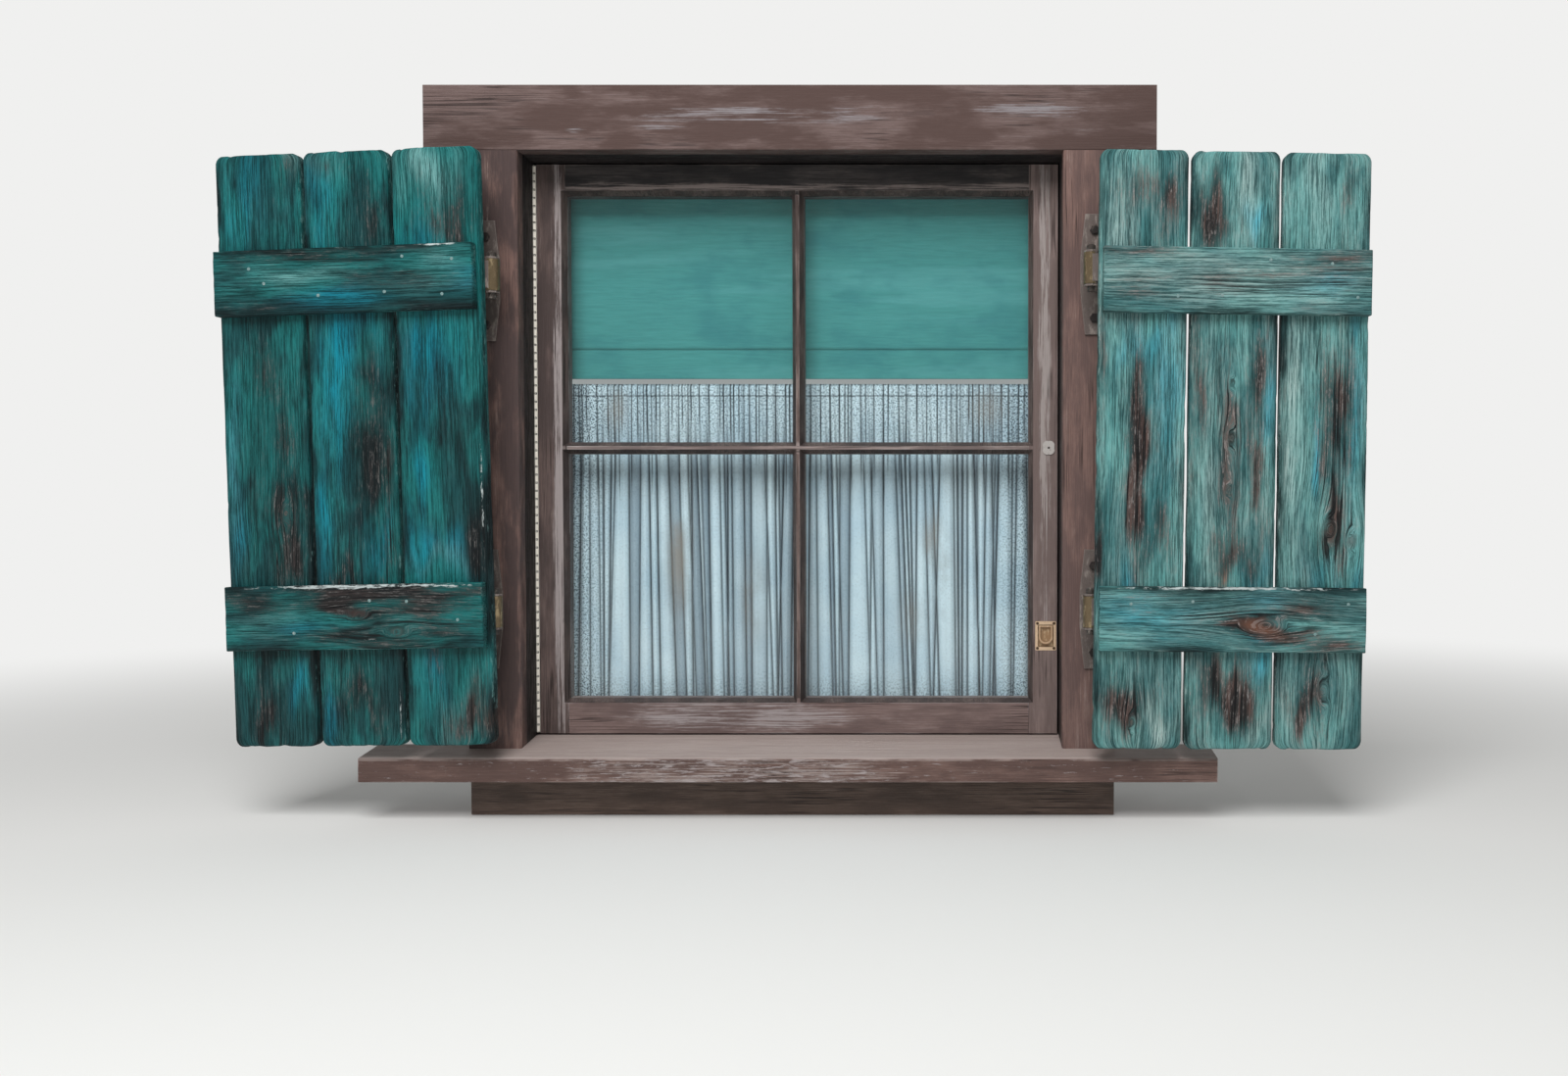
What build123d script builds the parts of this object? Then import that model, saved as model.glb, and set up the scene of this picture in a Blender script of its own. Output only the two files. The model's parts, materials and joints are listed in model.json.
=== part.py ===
from build123d import *
import math
import os

os.makedirs("parts", exist_ok=True)

# All sizes are in millimetres. X runs right along the wall, Y runs into the wall
# and Z runs up. The wall face is Y = 0 and the window's middle is X = 0. Heights
# are given above the apron's lower edge, and the saved nodes are lowered so that
# Z = 0 is the middle of the apron's back face.

# Window opening and frame
opening_width = 824.0        # between the jamb faces
head_height = 1009.0         # underside of the head jamb
jamb_thickness = 25.0
jamb_depth = 160.0
casing_thickness = 26.0
side_casing_width = 80.0
head_casing_height = 98.0
head_casing_overhang = 61.0  # past each side casing
casing_edge_round = 4.0
head_edge_round = 2.0
stop_width = 12.0
stop_depth = 18.0
cut_margin = 1.0             # how far a cut passes the face that it opens

# Sill and apron
apron_height = 61.0
apron_thickness = 20.0
sill_horn = 148.0            # past each side casing
sill_projection = 77.0       # in front of the wall face
sill_nose_height = 36.5
sill_slope = 6.0             # degrees, falling outward
sill_seat_lead = 1.0         # the level seat starts this far before the sash
sill_stop_height = 13.0      # upstand behind the sash
sill_nose_ease = 3.0
drip_setback = 9.0
drip_width = 6.0
drip_depth = 4.0

# Sash
sash_setback = 51.0          # outer face behind the wall face
sash_thickness = 35.0
sash_clearance = 2.4         # at the head, the sill and the closing stile
stop_gap = 1.0               # between the sash and its stops
stile_width = 45.0
top_rail_height = 47.0
bottom_rail_height = 55.5
muntin_width = 18.5
tenon_length = 30.0
tenon_thickness = 11.0
tenon_shoulder = 9.0

# Glazing
rebate_width = 6.5
glass_setback = 12.0         # from the sash face to the glass
glass_thickness = 3.0
glass_clearance = 0.8
putty_edge = 0.4             # thickness left at the putty's thin edge

# Continuous hinge of the sash
knuckle_radius = 2.3
knuckle_pitch = 12.7
knuckle_gap = 0.3
hinge_leaf_thickness = 0.9
hinge_leaf_width = 15.0
hinge_gap = 5.2              # between the jamb and the hinged stile
hinge_pin_radius = 1.1
hinge_bore_radius = 1.18     # across the flats of the bore
knuckle_sides = 6
bore_sides = 4

# Flush ring pull in the closing stile
pull_width = 33.0
pull_height = 46.0
pull_plate_thickness = 1.2
pull_proud = 0.6
pull_centre_height = 268.0
pull_edge_inset = 18.2       # plate centre from the sash edge
cup_width = 27.0
cup_height = 37.0
cup_depth = 7.0
cup_wall = 1.0
cup_corner = 2.0
plate_corner = 1.2
ring_thickness = 2.8
ring_width = 22.0
ring_height = 29.4
ring_setback = 0.4           # behind the sash face
ring_head_gap = 1.0          # between the ring and the cup's upper wall
trunnion_radius = 1.0
trunnion_clearance = 0.05
trunnion_end_gap = 0.2

# Plug in the closing stile
plug_width = 19.0
plug_height = 22.0
plug_proud = 1.6
plug_depth = 10.0
plug_corner = 8.0
plug_hole_radius = 1.8
plug_edge_inset = 14.0

# Shutters
board_width = 129.0
board_gap = 5.0
board_thickness = 20.0
boards_per_shutter = 3
shutter_short = 36.5         # from the opening's height to the shutter's
board_corner_round = 9.0
batten_height = 95.0
batten_thickness = 17.0
batten_hinge_inset = 4.0
batten_free_inset = 1.0
batten_edge_ease = 2.5
batten_foot_inset = 193.0    # batten centres from the shutter's foot and head
batten_head_inset = 191.0

# Strap hinges
bracket_thickness = 4.0
bracket_height = 181.0
bracket_width = 42.0
bracket_end_width = 28.0
bracket_offset = 47.0        # from the jamb face to the plate's middle
closing_gap = 0.5            # between the closed battens and the brackets
eye_radius = 11.3
eye_height = 46.0
eye_clearance = 0.2          # between the eye and the board face
lug_thickness = 3.0
lug_radius = 11.1            # across the lug's corners
lug_sides = 8
lug_web_inset = 9.5          # web's inner edge outside the pin axis
lug_gap = 0.3
pin_radius = 5.6
pin_clearance = 0.06
pin_head_radius = 6.8
pin_head_height = 9.0
pin_head_ease = 2.5
pin_tail = 8.0
strap_thickness = 4.0
strap_root_width = 40.0
strap_tip_width = 24.0
strap_length = 300.0

# Cafe curtain
curtain_plane = 122.0
curtain_side_gap = 10.0      # to each jamb
curtain_hem_height = 128.0
curtain_header = 3.6         # flat heading above the rod sleeve
curtain_thickness = 1.6
fold_pitch = 18.5
fold_depth = 4.4
fold_steps = 4               # flats in one fold
fold_change = 0.18           # share by which the folds' depth comes and goes
fold_change_rate = 0.27      # of that change, in turns per fold
rod_radius = 4.5
rod_above_bar = 95.8         # above the middle of the level glazing bar
sleeve_size = 12.6
sleeve_ease = 1.0
sleeve_gap = 0.3
rod_socket_size = 18.0
rod_socket_depth = 8.0
rod_socket_floor = 2.0
rod_socket_clearance = 0.1

# Roller shade
roller_plane = 128.0
roller_drop = 23.0           # below the head jamb
roller_radius = 13.0
wound_radius = 16.0
roller_end_gap = 6.0         # to each jamb
gudgeon_radius = 3.0
gudgeon_clearance = 0.06
gudgeon_length = 5.0
shade_bracket_thickness = 3.0
shade_bracket_size = 36.0
shade_side_gap = 14.0        # to each jamb
shade_foot_gap = 7.7         # above the curtain's heading
shade_hem_height = 46.0
shade_hem_thickness = 6.0
shade_cloth_thickness = 0.8
shade_slat_thickness = 4.0
shade_slat_height = 38.0
shade_seat_gap = 0.1

# Holes that fix the jambs to the wall
fixing_hole_radius = 4.0
fixing_plane = 146.0
fixing_inset = 189.0         # from the sill's seat and from the head jamb

# The two shutters were hung by hand, so each side has its own settings.
# pin_offset is from the jamb face to the pin axis, lap is how far the board edge
# passes the pin axis at the foot, foot_gap is above the sill's nose, sag and
# rest_turn are in degrees, and hinge_rises are from the battens' middles.
left_side = {
    "sign": -1, "pin_offset": 21.0, "lap": 11.2, "foot_gap": 24.0,
    "sag": 1.3, "rest_turn": 4.6, "hinge_rises": (1.5, 6.5),
}
right_side = {
    "sign": 1, "pin_offset": 37.5, "lap": -0.6, "foot_gap": 18.5,
    "sag": 0.6, "rest_turn": 2.0, "hinge_rises": (7.0, 22.0),
}

# Derived values
origin_height = apron_height / 2
jamb_x = opening_width / 2
frame_x = jamb_x + jamb_thickness
casing_x = jamb_x + side_casing_width
head_casing_x = casing_x + head_casing_overhang
sill_x = casing_x + sill_horn
sill_underside = apron_height
sill_nose_top = sill_underside + sill_nose_height
sill_seat_y = sash_setback - sill_seat_lead
sill_rise = (sill_projection + sill_seat_y) * math.tan(math.radians(sill_slope))
sill_seat_z = sill_nose_top + sill_rise
stop_y = sash_setback + sash_thickness + stop_gap
sill_back_z = sill_seat_z + sill_stop_height
fixing_heights = (sill_seat_z + fixing_inset, head_height - fixing_inset)

sash_back = sash_setback + sash_thickness
sash_left = -jamb_x + hinge_gap
sash_right = jamb_x - sash_clearance
sash_bottom = sill_seat_z + sash_clearance
sash_top = head_height - sash_clearance
light_left = sash_left + stile_width
light_right = sash_right - stile_width
light_bottom = sash_bottom + bottom_rail_height
light_top = sash_top - top_rail_height
muntin_x = (light_left + light_right) / 2
muntin_z = (light_bottom + light_top) / 2
glass_y = sash_setback + glass_setback
rebate_back = glass_y + glass_thickness
lap_y = sash_setback + sash_thickness / 2

hinge_axis_x = -jamb_x + hinge_gap / 2
hinge_axis_y = sash_setback - knuckle_radius
knuckle_count = 2 * int((sash_top - sash_bottom) / (2 * knuckle_pitch))
hinge_bottom = (sash_top + sash_bottom - knuckle_count * knuckle_pitch) / 2
hinge_top = hinge_bottom + knuckle_count * knuckle_pitch

shutter_width = boards_per_shutter * (board_width + board_gap) - board_gap
shutter_height = head_height - sill_nose_top - shutter_short
batten_centres = (batten_foot_inset, shutter_height - batten_head_inset)
bracket_centre = jamb_x + bracket_offset
for hung in (left_side, right_side):
    hung["pin"] = jamb_x + hung["pin_offset"]
    hung["foot"] = sill_nose_top + hung["foot_gap"]
    pairs = zip(batten_centres, hung["hinge_rises"])
    hung["hinges"] = [hung["foot"] + centre + rise for centre, rise in pairs]
strap_face_offset = eye_radius + eye_clearance
pin_y = -(casing_thickness + bracket_thickness + closing_gap
          + batten_thickness + board_thickness + strap_face_offset)
closed_outer_y = pin_y + strap_face_offset
closed_inner_y = closed_outer_y + board_thickness
closed_batten_y = closed_inner_y + batten_thickness

pull_x = sash_right - pull_edge_inset
ring_top = pull_centre_height + cup_height / 2 - cup_wall - ring_head_gap
ring_pivot_z = ring_top - ring_thickness / 2
ring_pivot_y = sash_setback + ring_setback + ring_thickness / 2
plug_centre = (sash_right - plug_edge_inset, muntin_z)

rod_half_length = jamb_x - rod_socket_floor
rod_height = muntin_z + rod_above_bar
curtain_half_width = jamb_x - curtain_side_gap
curtain_top = rod_height + sleeve_size / 2 + curtain_header
roller_height = head_height - roller_drop
roller_half_length = jamb_x - roller_end_gap
shade_half_width = jamb_x - shade_side_gap
shade_foot_height = curtain_top + shade_foot_gap
shade_cloth_y = roller_plane - wound_radius - shade_seat_gap


def block(x, y, z):
    """Box between the low and high limits of each axis."""
    solid = Box(x[1] - x[0], y[1] - y[0], z[1] - z[0], align=(Align.MIN, Align.MIN, Align.MIN))
    return Pos(x[0], y[0], z[0]) * solid


def grown(limits, margin):
    """Limits moved outward by the margin at both ends."""
    return (limits[0] - margin, limits[1] + margin)


def cylinder_x(x, y, z, radius):
    """Round bar along X between the two limits in x."""
    bar = Cylinder(radius, x[1] - x[0], align=(Align.CENTER, Align.CENTER, Align.MIN))
    return Pos(x[0], y, z) * Rot(0, 90, 0) * bar


def cylinder_y(x, y, z, radius):
    """Round bar along Y between the two limits in y."""
    bar = Cylinder(radius, y[1] - y[0], align=(Align.CENTER, Align.CENTER, Align.MIN))
    return Pos(x, y[0], z) * Rot(-90, 0, 0) * bar


def cylinder_z(x, y, z, radius):
    """Round bar along Z between the two limits in z."""
    bar = Cylinder(radius, z[1] - z[0], align=(Align.CENTER, Align.CENTER, Align.MIN))
    return Pos(x, y, z[0]) * bar


def facing(x, y, z):
    """Upright plane that looks outward, with X to the right and Z up."""
    return Plane((x, y, z), x_dir=(1, 0, 0), z_dir=(0, -1, 0))


def save(name, shape):
    """Write one node. A list becomes one node of separate solids."""
    if isinstance(shape, list):
        shape = Compound(children=shape)
    export_step(Pos(0, 0, -origin_height) * shape, f"parts/{name}.step")


# Frame
def make_sill():
    """Sloped sill with horns, a drip groove and a stop behind the sash."""
    front = -sill_projection
    profile = Polyline(
        (front, sill_underside), (front, sill_nose_top - sill_nose_ease),
        (front + sill_nose_ease, sill_nose_top), (sill_seat_y, sill_seat_z),
        (stop_y, sill_seat_z), (stop_y, sill_back_z),
        (jamb_depth, sill_back_z), (jamb_depth, sill_underside), close=True,
    )
    face = Plane.YZ.offset(-sill_x) * make_face(profile)
    sill = extrude(face, amount=2 * sill_x, dir=(1, 0, 0))
    for sign in (-1, 1):
        horn = sorted((sign * frame_x, sign * (sill_x + cut_margin)))
        sill -= block(horn, (0, jamb_depth + cut_margin), (0, head_height))
    drip_y = (front + drip_setback, front + drip_setback + drip_width)
    return sill - block((-sill_x, sill_x), drip_y, (sill_underside, sill_underside + drip_depth))


def make_apron():
    """Flat board under the sill."""
    return block((-casing_x, casing_x), (-apron_thickness, 0), (0, apron_height))


def make_side_casing(sign, sill):
    """Upright casing with a rounded inner edge, standing on the sill horn."""
    x = sorted((sign * jamb_x, sign * casing_x))
    board = block(x, (-casing_thickness, 0), (sill_underside, head_height))
    edges = board.edges().filter_by(Axis.Z).group_by(Axis.Y)[0]
    inner = edges.sort_by(Axis.X)[0 if sign > 0 else -1]
    return fillet(inner, casing_edge_round) - sill


def make_head_casing():
    """Level casing across the top, longer than the side casings."""
    z = (head_height, head_height + head_casing_height)
    board = block((-head_casing_x, head_casing_x), (-casing_thickness, 0), z)
    return fillet(board.edges().filter_by(Axis.X).group_by(Axis.Y)[0], head_edge_round)


def make_side_jamb(sign, sill):
    """Jamb with two fixing holes, standing on the sill."""
    x = sorted((sign * jamb_x, sign * frame_x))
    jamb = block(x, (0, jamb_depth), (sill_underside, head_height))
    hole_x = grown(x, cut_margin)
    for height in fixing_heights:
        jamb -= cylinder_x(hole_x, fixing_plane, height, fixing_hole_radius)
    return jamb - sill


def make_frame():
    """Sill, apron, casings, jambs and stops."""
    sill = make_sill()
    save("sill", sill)
    save("apron", make_apron())
    save("head_casing", make_head_casing())
    head_z = (head_height, head_height + jamb_thickness)
    save("head_jamb", block((-frame_x, frame_x), (0, jamb_depth), head_z))
    stop_depths = (stop_y, stop_y + stop_depth)
    stop_z = (head_height - stop_width, head_height)
    save("head_stop", block((-jamb_x, jamb_x), stop_depths, stop_z))
    for name, sign in (("left", -1), ("right", 1)):
        save(f"{name}_casing", make_side_casing(sign, sill))
        save(f"{name}_jamb", make_side_jamb(sign, sill))
        stop_x = sorted((sign * (jamb_x - stop_width), sign * jamb_x))
        save(f"{name}_stop", block(stop_x, stop_depths, (sill_back_z, head_height - stop_width)))


# Sash
def glazing_boxes():
    """The four rebated openings, each as X limits and Z limits of the clear light."""
    half = muntin_width / 2
    columns = ((light_left, muntin_x - half), (muntin_x + half, light_right))
    rows = ((light_bottom, muntin_z - half), (muntin_z + half, light_top))
    return [(x, z) for z in rows for x in columns]


def rebates():
    """Space cut from the sash members for the glass and its putty."""
    depth = (sash_setback - cut_margin, rebate_back)
    size = rebate_width
    return [block(grown(x, size), depth, grown(z, size)) for x, z in glazing_boxes()]


def make_tenons(x, z):
    """Two tenons at the ends of a rail."""
    depth = (sash_back - tenon_shoulder - tenon_thickness, sash_back - tenon_shoulder)
    height = (z[0] + tenon_shoulder, z[1] - tenon_shoulder)
    ends = ((x[0] - tenon_length, x[0]), (x[1], x[1] + tenon_length))
    return [block(end, depth, height) for end in ends]


def make_muntins(cuts):
    """Glazing bars, halved over each other where they cross."""
    depth = (sash_setback, sash_back)
    half = muntin_width / 2
    upright_x = (muntin_x - half, muntin_x + half)
    level_z = (muntin_z - half, muntin_z + half)
    upright = block(upright_x, depth, (light_bottom, light_top)) - cuts
    level = block((light_left, light_right), depth, level_z) - cuts
    front = block(upright_x, (sash_setback, lap_y), level_z)
    back = block(upright_x, (lap_y, sash_back), level_z)
    return upright - (level & front), level - (upright & back)


def make_putty(x, z):
    """Sloped putty frame in front of one pane."""
    outer = grown(x, rebate_width)
    tall = grown(z, rebate_width)
    frame = block(outer, (sash_setback, glass_y), tall)
    middle_x, middle_z = sum(x) / 2, sum(z) / 2
    wide = (outer[1] - outer[0] - 2 * putty_edge, tall[1] - tall[0] - 2 * putty_edge)
    front = facing(middle_x, sash_setback, middle_z) * Rectangle(*wide)
    back = facing(middle_x, glass_y, middle_z) * Rectangle(x[1] - x[0], z[1] - z[0])
    return frame - loft([front, back], ruled=True)


def pull_cup_solid():
    """Outer shape of the ring pull behind the sash face."""
    cup = block(
        (pull_x - cup_width / 2, pull_x + cup_width / 2),
        (sash_setback, sash_setback + cup_depth),
        (pull_centre_height - cup_height / 2, pull_centre_height + cup_height / 2),
    )
    return chamfer(cup.edges().filter_by(Axis.Y), cup_corner)


def pull_plate_blank(front):
    """Flat plate without its hollow, whose face stands this far before the sash."""
    plate = block(
        (pull_x - pull_width / 2, pull_x + pull_width / 2),
        (sash_setback - front, sash_setback - pull_proud + pull_plate_thickness),
        (pull_centre_height - pull_height / 2, pull_centre_height + pull_height / 2),
    )
    return chamfer(plate.edges().filter_by(Axis.Y), plate_corner)


def make_pull_plate():
    """Plate and cup with a finger hollow and two trunnion holes."""
    hollow_x = cup_width / 2 - cup_wall
    hollow_z = cup_height / 2 - cup_wall
    hollow = block(
        (pull_x - hollow_x, pull_x + hollow_x),
        (sash_setback - pull_proud - cut_margin, sash_setback + cup_depth - cup_wall),
        (pull_centre_height - hollow_z, pull_centre_height + hollow_z),
    )
    hollow = chamfer(hollow.edges().filter_by(Axis.Y), cup_corner - cup_wall / 2)
    ends = (pull_x - cup_width / 2, pull_x + cup_width / 2)
    holes = cylinder_x(ends, ring_pivot_y, ring_pivot_z, trunnion_radius + trunnion_clearance)
    return pull_plate_blank(pull_proud) + pull_cup_solid() - hollow - holes


def pull_plate_recess():
    """Shallow seat for the plate and pocket for the cup in the stile."""
    return pull_plate_blank(cut_margin) + pull_cup_solid()


def ring_outline(half, top):
    """Flat D shape, straight at the given top and round at its foot."""
    turn = ring_thickness / 2 + ring_width / 2 - ring_height
    sides = Polyline((half, turn), (half, top), (-half, top), (-half, turn))
    return make_face(sides + CenterArc((0, turn), half, 180, 180))


def make_pull_ring():
    """D-shaped ring hanging from its trunnions, flush in the cup."""
    half, edge = ring_width / 2, ring_thickness / 2
    face = ring_outline(half, edge) - ring_outline(half - ring_thickness, -edge)
    ring = extrude(facing(pull_x, ring_pivot_y, ring_pivot_z) * face, amount=edge, both=True)
    reach = cup_width / 2 - trunnion_end_gap
    ends = (pull_x - reach, pull_x + reach)
    return ring + cylinder_x(ends, ring_pivot_y, ring_pivot_z, trunnion_radius)


def plug_blank():
    """Plug without its hole, also the recess that it fills."""
    plane = facing(plug_centre[0], sash_setback + plug_depth, plug_centre[1])
    outline = plane * RectangleRounded(plug_width, plug_height, plug_corner)
    return extrude(outline, amount=plug_proud + plug_depth)


def make_plug():
    """Rounded plug with a small hole in its middle."""
    hole_y = (sash_setback - plug_proud - cut_margin, sash_setback + plug_depth / 2)
    return plug_blank() - cylinder_y(plug_centre[0], hole_y, plug_centre[1], plug_hole_radius)


def make_sash():
    """Stiles, rails, glazing bars, panes and putty."""
    cuts = rebates()
    depth = (sash_setback, sash_back)
    rail_x = (light_left, light_right)
    top = (light_top, sash_top)
    bottom = (sash_bottom, light_bottom)
    top_tenons, bottom_tenons = make_tenons(rail_x, top), make_tenons(rail_x, bottom)
    save("top_rail", block(rail_x, depth, top) - cuts + top_tenons)
    save("bottom_rail", block(rail_x, depth, bottom) - cuts + bottom_tenons)
    tenons = top_tenons + bottom_tenons
    tall = (sash_bottom, sash_top)
    save("left_stile", block((sash_left, light_left), depth, tall) - cuts - tenons)
    right = block((light_right, sash_right), depth, tall) - cuts - tenons
    save("right_stile", right - pull_plate_recess() - plug_blank())
    upright, level = make_muntins(cuts)
    save("vertical_muntin", upright)
    save("horizontal_muntin", level)
    places = ("lower_left", "lower_right", "upper_left", "upper_right")
    margin = rebate_width - glass_clearance
    for place, (x, z) in zip(places, glazing_boxes()):
        save(f"{place}_pane", block(grown(x, margin), (glass_y, rebate_back), grown(z, margin)))
        save(f"{place}_putty", make_putty(x, z))
    save("pull_plate", make_pull_plate())
    save("pull_ring", make_pull_ring())
    save("stile_plug", make_plug())


# Continuous hinge
def make_hinge_leaf(sign, wall_x):
    """One leaf with every second knuckle. sign is -1 for the jamb, 1 for the sash."""
    plate_x = sorted((wall_x, wall_x - sign * hinge_leaf_thickness))
    clear_y = hinge_axis_y + knuckle_radius + knuckle_gap
    plate_y = (clear_y, hinge_axis_y + hinge_leaf_width)
    solids = [block(plate_x, plate_y, (hinge_bottom, hinge_top))]
    for index in range(0 if sign < 0 else 1, knuckle_count, 2):
        low = hinge_bottom + index * knuckle_pitch + knuckle_gap / 2
        z = (low, low + knuckle_pitch - knuckle_gap)
        centre = Plane((hinge_axis_x, hinge_axis_y, low))
        bore = RegularPolygon(hinge_bore_radius, bore_sides, major_radius=False)
        section = centre * (RegularPolygon(knuckle_radius, knuckle_sides) - bore)
        knuckle = extrude(section, amount=knuckle_pitch - knuckle_gap)
        solids.append(knuckle + block(plate_x, (hinge_axis_y, clear_y), z))
    return solids[0].fuse(*solids[1:])


def make_continuous_hinge():
    """Jamb leaf, sash leaf and the long pin."""
    save("jamb_hinge_leaf", make_hinge_leaf(-1, -jamb_x))
    save("sash_hinge_leaf", make_hinge_leaf(1, sash_left))
    z = (hinge_bottom, hinge_top)
    save("sash_hinge_pin", cylinder_z(hinge_axis_x, hinge_axis_y, z, hinge_pin_radius))


# Shutter hinges
def make_bracket(sign, pin_x, height):
    """Tapered plate on the casing with two lugs that hold the pin."""
    half, end = bracket_width / 2, bracket_end_width / 2
    tall, reach = bracket_height / 2, eye_height / 2 + lug_gap + lug_thickness
    outline = Polyline(
        (-end, tall), (end, tall), (half, reach), (half, -reach), (end, -tall), (-end, -tall),
        (-half, -reach), (-half, reach), close=True,
    )
    plane = facing(sign * bracket_centre, -casing_thickness, height)
    bracket = extrude(plane * make_face(outline), amount=bracket_thickness)
    axis_x = sign * pin_x
    web_x = sorted((axis_x + sign * lug_web_inset, sign * (bracket_centre + half / 2)))
    neck_x = sorted((axis_x, axis_x + sign * lug_web_inset))
    face_y = -casing_thickness - bracket_thickness
    for low in (height - reach, height + reach - lug_thickness):
        z = (low, low + lug_thickness)
        nose = Plane((axis_x, pin_y, low)) * RegularPolygon(lug_radius, lug_sides)
        lug = extrude(nose, amount=lug_thickness) + block(web_x, (pin_y, face_y), z)
        lug += block(neck_x, (pin_y, pin_y + lug_web_inset), z)
        bracket += lug - cylinder_z(axis_x, pin_y, z, pin_radius)
    return bracket


def make_pin(x, height):
    """Headed pin through both lugs, turned in one piece."""
    reach = eye_height / 2 + lug_gap + lug_thickness
    foot, shoulder, top = -reach - pin_tail, reach, reach + pin_head_height
    profile = Polyline(
        (0, foot), (pin_radius, foot), (pin_radius, shoulder), (pin_head_radius, shoulder),
        (pin_head_radius, top - pin_head_ease), (pin_head_radius - pin_head_ease, top),
        (0, top), close=True,
    )
    return Pos(x, pin_y, height) * revolve(Plane.XZ * make_face(profile), Axis.Z)


def make_shutter_hinges():
    """Brackets and pins of both shutters."""
    pins = []
    for name, side in (("left", left_side), ("right", right_side)):
        for place, height in zip(("lower", "upper"), side["hinges"]):
            save(f"{name}_{place}_bracket", make_bracket(side["sign"], side["pin"], height))
            pins.append(make_pin(side["sign"] * side["pin"], height))
    save("shutter_hinge_pins", pins)


# Shutters. They are shaped closed, then sagged and swung open about the pins.
def sagged(shape, side):
    """Shape turned in the shutter's own plane about its foot at the hinge edge."""
    edge_x = side["sign"] * (side["pin"] + side["lap"])
    axis = Axis((edge_x, 0, side["foot"]), (0, 1, 0))
    return shape.rotate(axis, -side["sign"] * side["sag"])


def swung(shape, side):
    """Closed shape swung to its open rest position."""
    axis = Axis((side["sign"] * side["pin"], pin_y, 0), (0, 0, 1))
    return shape.rotate(axis, side["sign"] * (180 + side["rest_turn"]))


def across(side, near, far):
    """X limits between two distances from the closed shutter's hinge edge."""
    edge = side["pin"] + side["lap"]
    return sorted((side["sign"] * (edge - near), side["sign"] * (edge - far)))


def make_board(side, index):
    """Vertical board with worn round corners."""
    near = index * (board_width + board_gap)
    z = (side["foot"], side["foot"] + shutter_height)
    board = block(across(side, near, near + board_width), (closed_outer_y, closed_inner_y), z)
    return sagged(fillet(board.edges().filter_by(Axis.Y), board_corner_round), side)


def make_batten(side, centre):
    """Cross batten on the room side with eased edges."""
    x = across(side, batten_hinge_inset, shutter_width - batten_free_inset)
    middle = side["foot"] + centre
    z = (middle - batten_height / 2, middle + batten_height / 2)
    batten = block(x, (closed_inner_y, closed_batten_y), z)
    return sagged(chamfer(batten.edges().group_by(Axis.Y)[-1], batten_edge_ease), side)


def make_strap(side, height):
    """Tapered strap with a bored eye at its hinge end."""
    axis_x = side["sign"] * side["pin"]
    root, tip = strap_root_width / 2, strap_tip_width / 2
    end = strap_length - tip
    sides = Polyline((end, -tip), (0, -root), (0, root), (end, tip))
    outline = make_face(sides + ThreePointArc((end, tip), (strap_length, 0), (end, -tip)))
    plane = Plane((axis_x, closed_outer_y, height), x_dir=(-side["sign"], 0, 0), z_dir=(0, -1, 0))
    strap = extrude(plane * outline, amount=strap_thickness)
    z = (height - eye_height / 2, height + eye_height / 2)
    strap += cylinder_z(axis_x, pin_y, z, eye_radius)
    return strap - cylinder_z(axis_x, pin_y, z, pin_radius + pin_clearance)


def make_shutter(name, side):
    """Boards, battens and straps of one shutter."""
    for index in range(boards_per_shutter):
        save(f"{name}_board_{index + 1}", swung(make_board(side, index), side))
    for place, centre in zip(("lower", "upper"), batten_centres):
        save(f"{name}_{place}_batten", swung(make_batten(side, centre), side))
    for place, height in zip(("lower", "upper"), side["hinges"]):
        save(f"{name}_{place}_strap", swung(make_strap(side, height), side))


# Cafe curtain and its rod
def wave_points(offset):
    """Points along the folds, moved in Y by the offset."""
    folds = round(2 * curtain_half_width / fold_pitch)
    count = folds * fold_steps
    points = []
    for index in range(count + 1):
        turn = 2 * math.pi * index / fold_steps
        swell = 1 - fold_change + fold_change * math.sin(fold_change_rate * turn)
        depth = fold_depth * swell * math.cos(turn)
        x = 2 * curtain_half_width * index / count - curtain_half_width
        points.append((x, curtain_plane + depth + offset))
    return points


def make_curtain():
    """Gathered cloth under a flat heading that sleeves the rod."""
    front = wave_points(-curtain_thickness / 2)
    back = wave_points(curtain_thickness / 2)
    outline = Polyline(*front, *reversed(back), close=True)
    sleeve_foot = rod_height - sleeve_size / 2
    folds = Pos(0, 0, curtain_hem_height) * make_face(outline)
    cloth = extrude(folds, amount=sleeve_foot - curtain_hem_height + sleeve_ease)
    tall = curtain_top - sleeve_foot
    heading = RectangleRounded(sleeve_size, tall, sleeve_ease)
    section = Pos(curtain_plane, sleeve_foot + tall / 2) * heading
    cloth += extrude(Plane.YZ.offset(-curtain_half_width) * section, amount=2 * curtain_half_width)
    ends = grown((-curtain_half_width, curtain_half_width), cut_margin)
    return cloth - cylinder_x(ends, curtain_plane, rod_height, rod_radius + sleeve_gap)


def make_curtain_set():
    """Curtain, rod and the two sockets on the jambs."""
    save("cafe_curtain", make_curtain())
    ends = (-rod_half_length, rod_half_length)
    save("curtain_rod", cylinder_x(ends, curtain_plane, rod_height, rod_radius))
    bore = cylinder_x(ends, curtain_plane, rod_height, rod_radius + rod_socket_clearance)
    half = rod_socket_size / 2
    y = (curtain_plane - half, curtain_plane + half)
    z = (rod_height - half, rod_height + half)
    sockets = []
    for sign in (-1, 1):
        x = sorted((sign * jamb_x, sign * (jamb_x - rod_socket_depth)))
        sockets.append(block(x, y, z) - bore)
    save("rod_sockets", sockets)


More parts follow.
